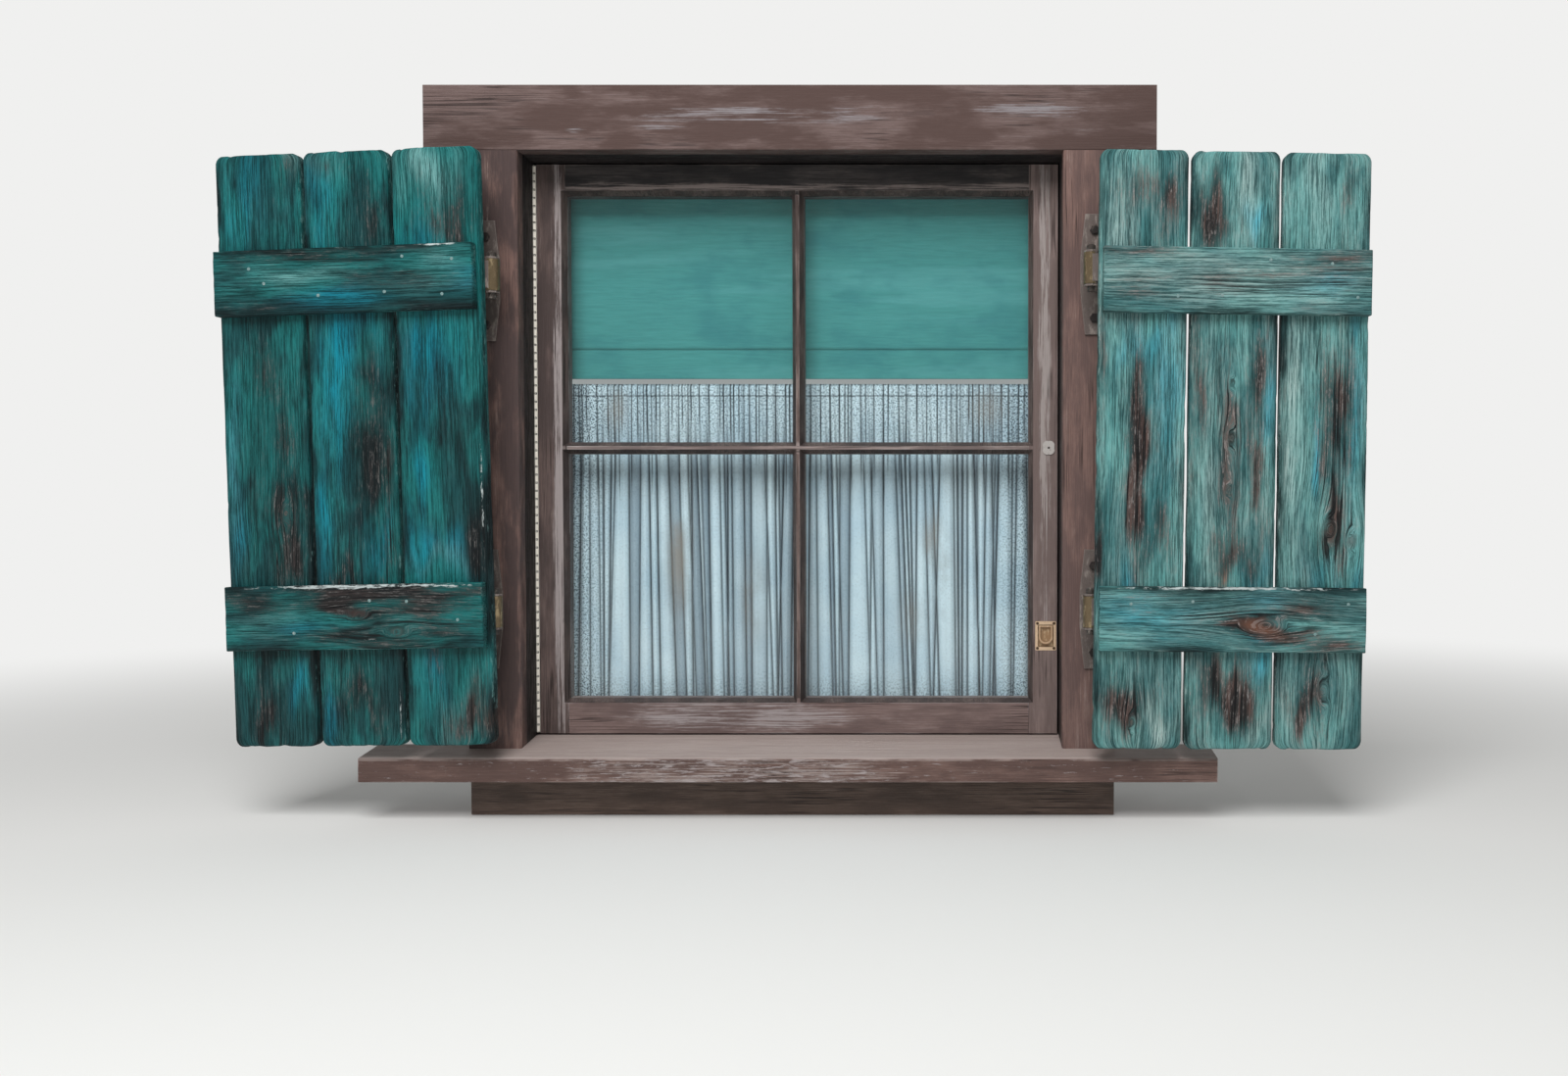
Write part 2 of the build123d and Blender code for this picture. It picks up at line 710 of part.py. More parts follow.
# Roller shade
def make_roller():
    """Wooden roller with a gudgeon at each end."""
    ends = (-roller_half_length, roller_half_length)
    roller = cylinder_x(ends, roller_plane, roller_height, roller_radius)
    ends = grown(ends, gudgeon_length)
    return roller + cylinder_x(ends, roller_plane, roller_height, gudgeon_radius)


def make_wound_cloth():
    """Cloth wound on the roller."""
    ends = (-shade_half_width, shade_half_width)
    roll = cylinder_x(ends, roller_plane, roller_height, wound_radius)
    return roll - cylinder_x(ends, roller_plane, roller_height, roller_radius)


def make_shade_brackets():
    """End brackets on the jambs with holes for the gudgeons."""
    half = shade_bracket_size / 2
    y = (roller_plane - half, roller_plane + half)
    z = (roller_height - half, roller_height + half)
    hole_radius = gudgeon_radius + gudgeon_clearance
    brackets = []
    for sign in (-1, 1):
        x = sorted((sign * jamb_x, sign * (jamb_x - shade_bracket_thickness)))
        brackets.append(block(x, y, z) - cylinder_x(x, roller_plane, roller_height, hole_radius))
    return brackets


def make_shade():
    """Roller, hanging cloth and the hem with its slat."""
    save("shade_roller", make_roller())
    save("shade_wound_cloth", make_wound_cloth())
    save("shade_brackets", make_shade_brackets())
    x = (-shade_half_width, shade_half_width)
    hem_top = shade_foot_height + shade_hem_height
    cloth_y = (shade_cloth_y - shade_cloth_thickness, shade_cloth_y)
    save("shade_cloth", block(x, cloth_y, (hem_top, roller_height)))
    middle_y = shade_cloth_y - shade_cloth_thickness / 2
    hem_y = (middle_y - shade_hem_thickness / 2, middle_y + shade_hem_thickness / 2)
    slat_y = (middle_y - shade_slat_thickness / 2, middle_y + shade_slat_thickness / 2)
    middle_z = shade_foot_height + shade_hem_height / 2
    slat_z = (middle_z - shade_slat_height / 2, middle_z + shade_slat_height / 2)
    slat = block(x, slat_y, slat_z)
    save("shade_slat", slat)
    save("shade_hem", block(x, hem_y, (shade_foot_height, hem_top)) - slat)


make_frame()
make_sash()
make_continuous_hinge()
make_shutter_hinges()
make_shutter("left", left_side)
make_shutter("right", right_side)
make_curtain_set()
make_shade()
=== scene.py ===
import json
import math
import random

import bmesh
import bpy
import numpy as np
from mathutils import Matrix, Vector, noise


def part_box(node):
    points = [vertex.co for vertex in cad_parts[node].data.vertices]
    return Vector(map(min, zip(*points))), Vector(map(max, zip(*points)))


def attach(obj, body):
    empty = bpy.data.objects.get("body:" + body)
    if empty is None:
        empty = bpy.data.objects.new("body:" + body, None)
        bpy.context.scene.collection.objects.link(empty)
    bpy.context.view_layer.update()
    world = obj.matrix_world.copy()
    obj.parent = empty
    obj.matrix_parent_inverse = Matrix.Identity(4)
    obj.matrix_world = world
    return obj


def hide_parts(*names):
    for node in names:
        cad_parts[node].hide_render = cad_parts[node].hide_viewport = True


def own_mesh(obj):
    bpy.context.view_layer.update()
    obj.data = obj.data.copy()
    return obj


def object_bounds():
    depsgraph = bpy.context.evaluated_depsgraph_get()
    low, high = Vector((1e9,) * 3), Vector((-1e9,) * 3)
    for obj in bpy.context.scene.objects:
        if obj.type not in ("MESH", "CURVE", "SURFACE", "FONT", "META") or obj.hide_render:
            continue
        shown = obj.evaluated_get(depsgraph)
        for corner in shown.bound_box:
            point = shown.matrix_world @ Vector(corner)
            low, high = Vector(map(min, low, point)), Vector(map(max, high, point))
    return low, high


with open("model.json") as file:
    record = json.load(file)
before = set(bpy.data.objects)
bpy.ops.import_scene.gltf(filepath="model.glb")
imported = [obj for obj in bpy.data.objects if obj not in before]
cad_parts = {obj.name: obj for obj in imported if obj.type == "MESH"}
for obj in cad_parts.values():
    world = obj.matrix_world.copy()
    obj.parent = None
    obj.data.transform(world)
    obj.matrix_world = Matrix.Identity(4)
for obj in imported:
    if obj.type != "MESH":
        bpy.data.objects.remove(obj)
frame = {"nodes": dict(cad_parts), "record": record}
nodes = frame["nodes"]
cad_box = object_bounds()
BODIES = frame["record"]["behaviour"]["bodies"]
MM = 0.001
SIDES = ("left", "right")
HINGES = [f"{side}_{place}" for side in SIDES for place in ("lower", "upper")]
# Masks that each vertex of a plank carries, read by the worn paint
PLANK_MASKS = ("worn", "blue", "pale", "dark", "bare", "crack", "white", "knot", "edge")


# Node trees
class Wiring:
    """Adds nodes to one tree. An input is a plain value or another node's output."""

    def __init__(self, tree):
        self.tree = tree

    def add(self, kind, inputs=None, **settings):
        made = self.tree.nodes.new(kind)
        for key, value in settings.items():
            setattr(made, key, value)
        for key, value in (inputs or {}).items():
            if isinstance(value, bpy.types.NodeSocket):
                self.tree.links.new(value, made.inputs[key])
            else:
                made.inputs[key].default_value = value
        return made

    def math(self, operation, first, second=0.0, clamp=False):
        inputs = {0: first, 1: second}
        return self.add("ShaderNodeMath", inputs, operation=operation, use_clamp=clamp).outputs[0]

    def times(self, first, second, clamp=False):
        return self.math("MULTIPLY", first, second, clamp)

    def total(self, *terms):
        """Sum of sources and of (source, share) pairs."""
        parts = [self.times(*term) if isinstance(term, tuple) else term for term in terms]
        result = parts[0]
        for part in parts[1:]:
            result = self.math("ADD", result, part)
        return result

    def vector(self, operation, first, second=(0.0, 0.0, 0.0), output=0):
        made = self.add("ShaderNodeVectorMath", {0: first, 1: second}, operation=operation)
        return made.outputs[output]

    def length(self, vector):
        return self.vector("LENGTH", vector, output="Value")

    def split(self, vector):
        return self.add("ShaderNodeSeparateXYZ", {"Vector": vector}).outputs

    def joined(self, x=0.0, y=0.0, z=0.0):
        return self.add("ShaderNodeCombineXYZ", {"X": x, "Y": y, "Z": z}).outputs[0]

    def noise(self, vector, scale, detail=3.0, roughness=0.55):
        """Soft noise of the coordinates, stretched per axis."""
        place = self.add("ShaderNodeMapping", {"Vector": vector, "Scale": scale}).outputs[0]
        inputs = {"Vector": place, "Scale": 1.0, "Detail": detail, "Roughness": roughness}
        return self.add("ShaderNodeTexNoise", inputs).outputs["Fac"]

    def between(self, value, low, high, start=0.0, end=1.0):
        """Smooth change from start to end while the value goes from low to high."""
        inputs = {"Value": value, "From Min": low, "From Max": high, "To Min": start, "To Max": end}
        made = self.add("ShaderNodeMapRange", inputs, interpolation_type="SMOOTHSTEP")
        return made.outputs["Result"]

    def mix(self, share, first, second):
        return self.add("ShaderNodeMix", {0: share, 6: first, 7: second}, data_type="RGBA").outputs[2]

    def attribute(self, name, output="Fac"):
        return self.add("ShaderNodeAttribute", attribute_name=name).outputs[output]

    def object_place(self):
        return self.add("ShaderNodeTexCoord").outputs["Object"]

    def group(self, tree, inputs):
        return self.add("ShaderNodeGroup", inputs, node_tree=tree).outputs

    def join(self, *shapes):
        made = self.add("GeometryNodeJoinGeometry")
        for shape in shapes:
            self.tree.links.new(shape, made.inputs[0])
        return made.outputs[0]

    def finish(self, shader):
        self.add("ShaderNodeOutputMaterial", {"Surface": shader})

    def surface(self, colour, roughness, height, depth, strength=0.6, extra=None):
        """Ends a material in a Principled surface with relief of the given depth."""
        bump = self.add("ShaderNodeBump", {"Strength": strength, "Distance": depth, "Height": height})
        inputs = {"Base Color": colour, "Roughness": roughness, "Normal": bump.outputs[0]}
        inputs.update(extra or {"Specular IOR Level": 0.35})
        self.finish(self.add("ShaderNodeBsdfPrincipled", inputs).outputs[0])


def shade(red, green, blue):
    """Colour as it looks on a screen, 0 to 255, as the linear value that a shader takes."""
    levels = [c / 255 for c in (red, green, blue)]
    return (*[c / 12.92 if c < 0.04045 else ((c + 0.055) / 1.055) ** 2.4 for c in levels], 1.0)


def node_group(name, kind, inputs, outputs):
    """Empty node group with sockets given as name: type. Returns its wiring, inputs and outputs."""
    tree = bpy.data.node_groups.new(name, kind)
    for way, wanted in (("INPUT", inputs), ("OUTPUT", outputs)):
        for label, form in wanted.items():
            tree.interface.new_socket(label, in_out=way, socket_type="NodeSocket" + form)
    made = [tree.nodes.new(kind) for kind in ("NodeGroupInput", "NodeGroupOutput")]
    return Wiring(tree), made[0].outputs, made[1].inputs


def into(wiring, ends, **sources):
    """Joins named sources to the sockets of a group's output node."""
    for label, source in sources.items():
        wiring.tree.links.new(source, ends[label])


# Shared surface effects
# Layers of the wood grain: the noise's scales per metre across, along and into the wood, its
# detail and roughness, and the noise values between which the layer goes from 0 to 1
GRAIN_LAYERS = {
    "Fibre": ((760.0, 20.0, 240.0), 4.0, 0.8, 0.4, 0.6),
    "Streak": ((380.0, 7.0, 130.0), 5.0, 0.75, 0.37, 0.63),
    "Zone": ((36.0, 8.0, 26.0), 5.0, 0.65, 0.32, 0.68),
    "Patch": ((13.0, 5.0, 12.0), 3.0, 0.6, 0.34, 0.66),
    "Grit": ((1500.0, 500.0, 900.0), 2.0, 0.55, 0.35, 0.65),
    "Fleck": ((330.0, 70.0, 200.0), 4.0, 0.7, 0.42, 0.62),
}
CRACK_SCALES = (150.0, 2.2, 20.0)    # of the noise whose middle value draws the drying cracks
SURFACE_RESULTS = {"Color": "Color", "Roughness": "Float", "Height": "Float"}
# Near-black green of the planks' dark marks: grime, and painted shade towards their long edges
GRIME_AND_SHADE = shade(9, 22, 25)
RAW_WOOD = shade(158, 92, 56)
KNOT_HEART = shade(58, 40, 34)
OPEN_CRACK = shade(13, 14, 16)
# Chalky white of the planks' white marks, and of the painted highlight along the battens' upper arrises
CHALK_AND_HIGHLIGHT = shade(196, 206, 206)
JOINERY_CRACK = shade(30, 24, 23)
METAL_DIRT = shade(46, 38, 34)


def wood_grain_group():
    """Fibres, streaks, zones and drying cracks along the second axis of the coordinates."""
    w, given, out = node_group("wood grain", "ShaderNodeTree", {"Along": "Vector", "Seed": "Float"},
                               dict.fromkeys([*GRAIN_LAYERS, "Line"], "Float"))
    seed = given["Seed"]
    place = w.vector("ADD", given["Along"], w.joined(seed, seed, seed))
    layers = {name: w.between(w.noise(place, scale, detail, roughness), low, high)
              for name, (scale, detail, roughness, low, high) in GRAIN_LAYERS.items()}
    ridge = w.math("ABSOLUTE", w.math("SUBTRACT", w.noise(place, CRACK_SCALES, detail=2.0), 0.5))
    into(w, out, Line=w.between(ridge, 0.008, 0.04, 1.0, 0.0), **layers)
    return w.tree


GRAIN = wood_grain_group()


def paint_group(name, colours, masks):
    """Group for a paint on wood, with the grain in it. Returns its wiring, sockets and the grain."""
    inputs = {"Along": "Vector", **dict.fromkeys(colours, "Color"), **dict.fromkeys(masks, "Float")}
    w, given, out = node_group(name, "ShaderNodeTree", inputs, SURFACE_RESULTS)
    return w, given, out, w.group(GRAIN, {"Along": given["Along"], "Seed": given["Seed"]})


def worn_paint_group():
    """Thin paint over open-grained wood, rubbed away where the masks say so."""
    colours = ("Paint", "Deep paint", "Pale paint", "Blue paint", "Wood", "Brown wood", "Pale wood")
    masks = [mask.capitalize() for mask in PLANK_MASKS] + ["Wear level", "Pale level", "Seed"]
    w, given, out, grain = paint_group("worn paint", colours, masks)
    fibre, streak, zone, patch, fleck = [grain[key] for key in ("Fibre", "Streak", "Zone", "Patch", "Fleck")]
    # Paint: deep and pale clouds, blue marks, dark marks of grime and painted shade, and shadow in the
    # grain's grooves
    grooves = w.total((fibre, 0.55), (streak, 0.45))
    clouds = w.between(w.total(patch, (zone, 0.6)), 0.4, 1.2, 0.85, 0.0)
    colour = w.mix(clouds, given["Paint"], given["Deep paint"])
    pale = w.total((zone, given["Pale level"]), given["Pale"])
    pale = w.times(pale, w.between(grooves, 0.15, 0.85, 0.3, 0.95), clamp=True)
    colour = w.mix(pale, colour, given["Pale paint"])
    blue = w.times(given["Blue"], w.between(grooves, 0.1, 0.7, 0.45, 0.95), clamp=True)
    colour = w.mix(w.times(blue, 0.85), colour, given["Blue paint"])
    # Dark marks and darkened long edges: partly grime, partly painted shade
    dark = w.times(given["Dark"], w.between(w.total(patch, zone), 0.4, 1.7, 1.25, 0.7), clamp=True)
    colour = w.mix(w.times(dark, 0.88), colour, GRIME_AND_SHADE)
    shadow = w.between(grooves, 0.12, 0.74, 0.38, 1.17)
    colour = w.add("ShaderNodeVectorMath", {0: colour, "Scale": shadow}, operation="SCALE").outputs[0]
    # Wood where the paint is gone
    wood = w.mix(w.between(w.total(zone, streak), 0.7, 1.5, 0.0, 0.8), given["Wood"], given["Brown wood"])
    wood = w.mix(w.between(w.total(fibre, fleck), 1.15, 1.95, 0.0, 0.6), wood, given["Pale wood"])
    wood = w.mix(w.times(given["Bare"], 0.85), wood, RAW_WOOD)
    texture = w.total((streak, 0.24), (fibre, 0.26), (zone, 0.3), (fleck, 0.16))
    lift = w.total((given["Worn"], 0.92), given["Wear level"])
    worn = w.between(w.total(texture, lift), 0.66, 1.4, 0.0, 0.94)
    colour = w.mix(worn, colour, wood)
    # Knots, drying cracks, chipped arrises that also carry a painted highlight, and chalky flecks; the white
    # marks along the battens' upper arrises are painted highlights
    heart = w.times(given["Knot"], w.between(w.total(fleck, zone), 0.3, 1.5, 0.05, 0.5))
    colour = w.mix(heart, colour, KNOT_HEART)
    opened = w.total((given["Crack"], 1.1), (given["Worn"], 0.5))
    opened = w.times(opened, w.between(given["Knot"], 0.0, 1.0, 1.0, 0.35))
    opened = w.total(opened, w.between(zone, 0.6, 1.0, 0.0, 0.5))
    cracks = w.times(grain["Line"], opened, clamp=True)
    colour = w.mix(w.times(cracks, 0.92), colour, OPEN_CRACK)
    chipped_and_highlit = w.between(w.total((given["Edge"], 0.45), (zone, 0.3), (fleck, 0.3)), 0.84, 1.04, 0.0, 0.6)
    colour = w.mix(chipped_and_highlit, colour, given["Pale paint"])
    white = w.between(w.total(given["White"], (fleck, 0.5)), 0.76, 1.15, 0.0, 0.85)
    colour = w.mix(white, colour, CHALK_AND_HIGHLIGHT)
    height = w.math("SUBTRACT", w.total((grooves, 0.9), (grain["Grit"], 0.1)),
                    w.total((cracks, 1.1), (worn, 0.3)))
    into(w, out, Color=colour, Roughness=w.between(grooves, 0.1, 0.9, 0.78, 0.5), Height=height)
    return w.tree


def joinery_paint_group():
    """Old dull paint on planed joinery, with pale rubbed streaks and worn arrises, which also carry a painted
    highlight.
    """
    w, given, out, grain = paint_group("joinery paint", ("Paint", "Dark", "Rubbed"),
                                       ("Rub level", "Rub here", "Dark level", "Edge", "Seed"))
    fibre, streak, zone, patch = [grain[name] for name in ("Fibre", "Streak", "Zone", "Patch")]
    tone = w.between(w.total((patch, 0.5), (zone, 0.5)), 0.25, 0.8, 1.0, 0.0)
    colour = w.mix(w.times(tone, given["Dark level"]), given["Paint"], given["Dark"])
    colour = w.mix(w.between(fibre, 0.2, 0.8, 0.4, 0.0), colour, given["Dark"])
    here = w.times(given["Rub here"], w.between(streak, 0.0, 1.0, 0.25, 0.62))
    rubbed = w.total((streak, 0.3), (zone, 0.4), (fibre, 0.2), given["Rub level"], here)
    colour = w.mix(w.between(rubbed, 0.55, 1.0, 0.0, 0.92), colour, given["Rubbed"])
    # Worn arrises in the rubbed tone, which also paint a highlight along the lit edges
    arris = w.times(given["Edge"], w.between(zone, 0.3, 0.75))
    colour = w.mix(w.times(arris, 0.6), colour, given["Rubbed"])
    cracks = w.times(grain["Line"], w.between(patch, 0.45, 1.0, 0.0, 0.7))
    colour = w.mix(cracks, colour, JOINERY_CRACK)
    height = w.math("SUBTRACT", w.times(w.total(fibre, streak), 0.4), cracks)
    into(w, out, Color=colour, Roughness=w.between(fibre, 0.0, 1.0, 0.66, 0.46), Height=height)
    return w.tree


def metal_wear_group():
    """Painted or plated metal, rubbed through in places, with dirt in its pits and arrises in a colour of
    their own: worn metal, or a dark painted shade round a rim.
    """
    amounts = ("Scale", "Rubbed from", "Rubbed to", "Smooth", "Dull", "Edge")
    inputs = {"Place": "Vector", **dict.fromkeys(("Metal", "Worn", "Arris"), "Color"),
              **dict.fromkeys(amounts, "Float")}
    w, given, out = node_group("metal wear", "ShaderNodeTree", inputs, SURFACE_RESULTS)
    place, scale = given["Place"], given["Scale"]
    coarse = w.noise(place, w.joined(scale, scale, w.times(scale, 0.4)), detail=5.0, roughness=0.65)
    fine = w.noise(place, w.joined(w.times(scale, 7.0), w.times(scale, 7.0), w.times(scale, 3.0)))
    mask = w.between(w.total(coarse, (fine, 0.25)), given["Rubbed from"], given["Rubbed to"])
    colour = w.mix(mask, given["Metal"], given["Worn"])
    colour = w.mix(w.between(fine, 0.5, 0.8, 0.0, 0.35), colour, METAL_DIRT)
    # Arrises in their own colour: worn metal, or on the ring and the plug a dark painted shade round the rim
    colour = w.mix(w.times(given["Edge"], 0.6), colour, given["Arris"])
    roughness = w.between(fine, 0.2, 0.8, given["Smooth"], given["Dull"])
    into(w, out, Color=colour, Roughness=roughness, Height=coarse)
    return w.tree


WORN_PAINT = worn_paint_group()
JOINERY_PAINT = joinery_paint_group()
METAL_WEAR = metal_wear_group()


# Materials
SEED_STEP = 1.7      # grain seed of a joinery paint per letter of its name
THREADS = 5200.0     # turns of the weave's wave per metre, in radians


def new_material(name):
    """Material with an empty tree, with its wiring."""
    made = bpy.data.materials.new(name)
    made.use_nodes = True
    made.node_tree.nodes.clear()
    return made, Wiring(made.node_tree)


def shutter_paint(name, colours, wear, pale_level, seed):
    """Paint of one shutter's boards, read from the planks' own attributes."""
    made, w = new_material(name)
    inputs = {"Along": w.attribute("along", "Vector"), "Wear level": wear, "Pale level": pale_level,
              "Seed": seed}
    inputs.update({key: shade(*levels) for key, levels in colours.items()})
    inputs.update({mask.capitalize(): w.attribute(mask) for mask in PLANK_MASKS})
    paint = w.group(WORN_PAINT, inputs)
    w.surface(paint["Color"], paint["Roughness"], paint["Height"], 1.1 * MM)
    return made


def placed_paint(w, along, tones, rub, here, darkness, seed):
    """Outputs of the joinery paint's group in three tones: plain, dark and rubbed."""
    return w.group(JOINERY_PAINT, {
        "Along": along, "Rub level": rub, "Rub here": here, "Dark level": darkness,
        "Edge": w.attribute("edge"), "Seed": seed,
        **{key: shade(*tone) for key, tone in zip(("Paint", "Dark", "Rubbed"), tones)}})


def joinery_paint(name, along, tones, rub=-0.1, darkness=0.7, spots=()):
    """Paint in three tones: plain, dark and rubbed. The grain runs along X or Z of the object.

    Each spot is the centre of a rubbed place, and its reach along each axis.
    """
    made, w = new_material(name)
    place = w.object_place()
    turn = math.radians(90) if along == "X" else 0.0
    turned = w.split(w.add("ShaderNodeMapping", {"Vector": place, "Rotation": (0.0, turn, 0.0)}).outputs[0])
    here = 0.0
    for centre, reach in spots:
        away = w.length(w.vector("DIVIDE", w.vector("SUBTRACT", place, centre), reach))
        here = w.math("ADD", here, w.between(away, 0.2, 1.3, 1.0, 0.0))
    order = w.joined(turned["X"], turned["Z"], turned["Y"])
    paint = placed_paint(w, order, tones, rub, here, darkness, len(name) * SEED_STEP)
    w.surface(paint["Color"], paint["Roughness"], paint["Height"], 0.5 * MM)
    return made


def old_metal(name, colour, worn, metal, rough, rub, scale=140.0, arris=None):
    """Painted or plated metal, rubbed through in places, with arrises in their own colour: worn, or dark as
    painted shade round a rim.
    """
    made, w = new_material(name)
    wear = w.group(METAL_WEAR, {
        "Place": w.object_place(), "Scale": scale, "Metal": shade(*colour), "Worn": shade(*worn),
        "Arris": shade(*(arris or worn)), "Rubbed from": 0.82 - rub * 0.4, "Rubbed to": 0.95 - rub * 0.3,
        "Smooth": rough - 0.1, "Dull": rough + 0.15, "Edge": w.attribute("edge")})
    w.surface(wear["Color"], wear["Roughness"], wear["Height"], 0.3 * MM, 0.5, {"Metallic": metal})
    return made


def pane_glass():
    """Clear glass that lets the lamp light what is behind it."""
    made, w = new_material("window_glass")
    glass = w.add("ShaderNodeBsdfPrincipled", {"Base Color": shade(238, 246, 246), "Roughness": 0.02,
                                               "Transmission Weight": 1.0, "IOR": 1.36})
    clear = w.add("ShaderNodeBsdfTransparent")
    rays = w.add("ShaderNodeLightPath").outputs
    share = w.math("MAXIMUM", rays["Is Shadow Ray"], rays["Is Diffuse Ray"])
    w.finish(w.add("ShaderNodeMixShader", {0: share, 1: glass.outputs[0], 2: clear.outputs[0]}).outputs[0])
    return made


def curtain_cloth():
    """Thin pale cotton with a fine weave, painted shade in its folds, along its seam and on the faces between
    broad folds, and a few old stains.
    """
    made, w = new_material("curtain_cotton")
    place = w.add("ShaderNodeUVMap", uv_map="cloth").outputs[0]
    across, down = [w.math("SINE", w.times(w.split(place)[axis], THREADS)) for axis in (0, 1)]
    mottle = w.noise(place, (300.0, 300.0, 1.0), detail=4.0, roughness=0.75)
    cloud = w.noise(place, (9.0, 7.0, 1.0), detail=4.0)
    colour = w.mix(w.between(cloud, 0.3, 0.7), shade(216, 234, 242), shade(190, 213, 226))
    # Painted shade on the faces between broad folds: each strip takes its own darker tone
    strip = w.between(w.attribute("tone"), 0.4, 1.0, 0.0, 0.75)
    colour = w.mix(strip, colour, shade(122, 140, 154))
    grit = w.times(w.attribute("grit"), w.between(mottle, 0.47, 0.56, 0.0, 0.85))
    speck = w.total(w.between(mottle, 0.5, 0.62, 0.0, 0.2), grit)
    colour = w.mix(speck, colour, shade(64, 84, 96))
    # Painted shade: darker along the fold valleys, the fine pleats and the seam
    colour = w.mix(w.times(w.attribute("fold"), 0.96), colour, shade(26, 38, 47))
    stain = w.times(w.attribute("stain"), w.between(cloud, 0.35, 0.6))
    colour = w.mix(w.times(stain, 0.75), colour, shade(150, 138, 126))
    weave = w.times(w.times(across, down), 0.3)
    w.surface(colour, 0.9, w.total(weave, mottle), 0.3 * MM, 0.35,
              {"Sheen Weight": 0.25, "Specular IOR Level": 0.15})
    return made


def shade_cloth():
    """Green blind cloth with faint slubs across it."""
    made, w = new_material("blind_cloth")
    place = w.object_place()
    slub = w.noise(place, (30.0, 40.0, 520.0), detail=4.0, roughness=0.7)
    band = w.noise(place, (2.2, 4.0, 26.0))
    cloud = w.noise(place, (9.0, 5.0, 16.0), detail=5.0, roughness=0.6)
    colour = w.mix(w.between(slub, 0.3, 0.7), shade(74, 146, 143), shade(64, 132, 131))
    colour = w.mix(w.between(band, 0.5, 0.68, 0.0, 0.35), colour, shade(98, 164, 164))
    colour = w.mix(w.between(cloud, 0.45, 0.7, 0.0, 0.5), colour, shade(44, 110, 118))
    w.surface(colour, 0.85, slub, 0.3 * MM, 0.3, {"Sheen Weight": 0.2, "Specular IOR Level": 0.2})
    return made


def sill_paint():
    """Red-brown paint on the sill, flaking to a pale undercoat along the middle of its nose, with its upward
    faces painted lighter as lit from above.
    """
    made, w = new_material("sill_paint")
    parts = w.split(w.object_place())
    order = w.joined(parts["Z"], parts["X"], parts["Y"])
    normal = w.split(w.add("ShaderNodeNewGeometry").outputs["Normal"])
    top = w.between(normal["Z"], 0.5, 0.9)
    middle = w.between(w.math("ABSOLUTE", w.math("SUBTRACT", parts["X"], -0.08)), 0.1, 0.36, 1.0, 0.0)
    tones = [(118, 94, 87), (80, 62, 58), (156, 142, 137)]
    paint = placed_paint(w, order, tones, -0.18, middle, 0.7, 3.1)
    flake = w.total(w.noise(order, (260.0, 30.0, 90.0), detail=6.0, roughness=0.75), (middle, 0.09))
    flake = w.times(w.between(flake, 0.6, 0.66, 0.0, 0.8), w.math("SUBTRACT", 1.0, top))
    # Painted light: the sill's upward faces are lighter, as lit from above
    lit_top_tone = w.mix(w.noise(order, (60.0, 3.0, 90.0), detail=5.0), shade(188, 174, 169), shade(158, 143, 137))
    colour = w.mix(w.times(top, 0.85), paint["Color"], lit_top_tone)
    colour = w.mix(flake, colour, shade(168, 158, 157))
    height = w.math("SUBTRACT", paint["Height"], w.times(flake, 1.2))
    w.surface(colour, paint["Roughness"], height, 0.6 * MM, 0.7)
    return made


def joinery_paints():
    """One dull paint for each part of the frame and sash, with its own rubbed places.

    Each has the way of its grain, its three tones, how far it is rubbed and darkened, and its spots.
    """
    strip = (0.011, 0.05, 0.5)
    smears = [((-0.323, -0.03, 1.008), (0.02, 0.05, 0.005)), ((-0.19, -0.03, 1.012), (0.05, 0.05, 0.006)),
              ((-0.05, -0.03, 1.03), (0.22, 0.05, 0.014)), ((0.35, -0.03, 1.04), (0.1, 0.05, 0.014))]
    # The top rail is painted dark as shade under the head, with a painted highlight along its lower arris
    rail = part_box("top_rail")[0]
    lit_arris = [((x, rail.y, rail.z + 11 * MM), (0.16, 0.05, 0.008)) for x in (-0.3, -0.12, 0.07, 0.28)]
    wanted = {
        "left_casing": ("Z", [(130, 102, 94), (68, 58, 58), (166, 150, 142)], -0.12, 0.85,
                        [((-0.463, -0.03, 0.86), (0.012, 0.05, 0.05))]),
        "right_casing": ("Z", [(126, 100, 93), (88, 72, 70), (156, 142, 136)]),
        "head_casing": ("X", [(112, 95, 92), (80, 63, 59), (136, 131, 134)], -0.16, 0.9, smears),
        "apron": ("X", [(106, 89, 80), (72, 60, 54), (132, 119, 110)]),
        # The jambs and head jamb are painted dark: painted shade in the reveal round the sash
        "jamb": ("Z", [(46, 41, 41), (22, 20, 21), (92, 86, 86)], -0.15),
        "head_jamb": ("X", [(50, 45, 45), (24, 22, 23), (84, 78, 78)], -0.15),
        "left_stile": ("Z", [(104, 88, 84), (66, 57, 56), (156, 147, 146)], -0.18, 0.75,
                       [((-0.373, 0.05, z), strip) for z in (0.3, 0.56, 0.8)]),
        "right_stile": ("Z", [(134, 117, 113), (102, 88, 85), (156, 147, 144)], -0.16, 0.7,
                        [((0.389, 0.05, z), strip) for z in (0.62, 0.85)]),
        "vertical_bar": ("Z", [(116, 99, 94), (56, 48, 46), (168, 156, 152)]),
        # Painted shade under the head, and a painted highlight on the lower arris
        "top_rail": ("X", [(70, 65, 64), (35, 33, 34), (124, 113, 109)], -0.1, 0.9, lit_arris),
        "bottom_rail": ("X", [(128, 109, 105), (94, 79, 77), (158, 150, 150)], -0.14, 0.7,
                        [((-0.1, 0.05, 0.11), (0.22, 0.05, 0.035))]),
        # Lighter than the other bars: painted light on the horizontal bar's top
        "level_bar": ("X", [(150, 135, 131), (96, 84, 82), (184, 177, 174)], -0.02),
        "putty": ("Z", [(92, 79, 75), (50, 43, 42), (146, 136, 132)], -0.14, 0.8),
    }
    return {key: joinery_paint(key + "_paint", *values) for key, values in wanted.items()}


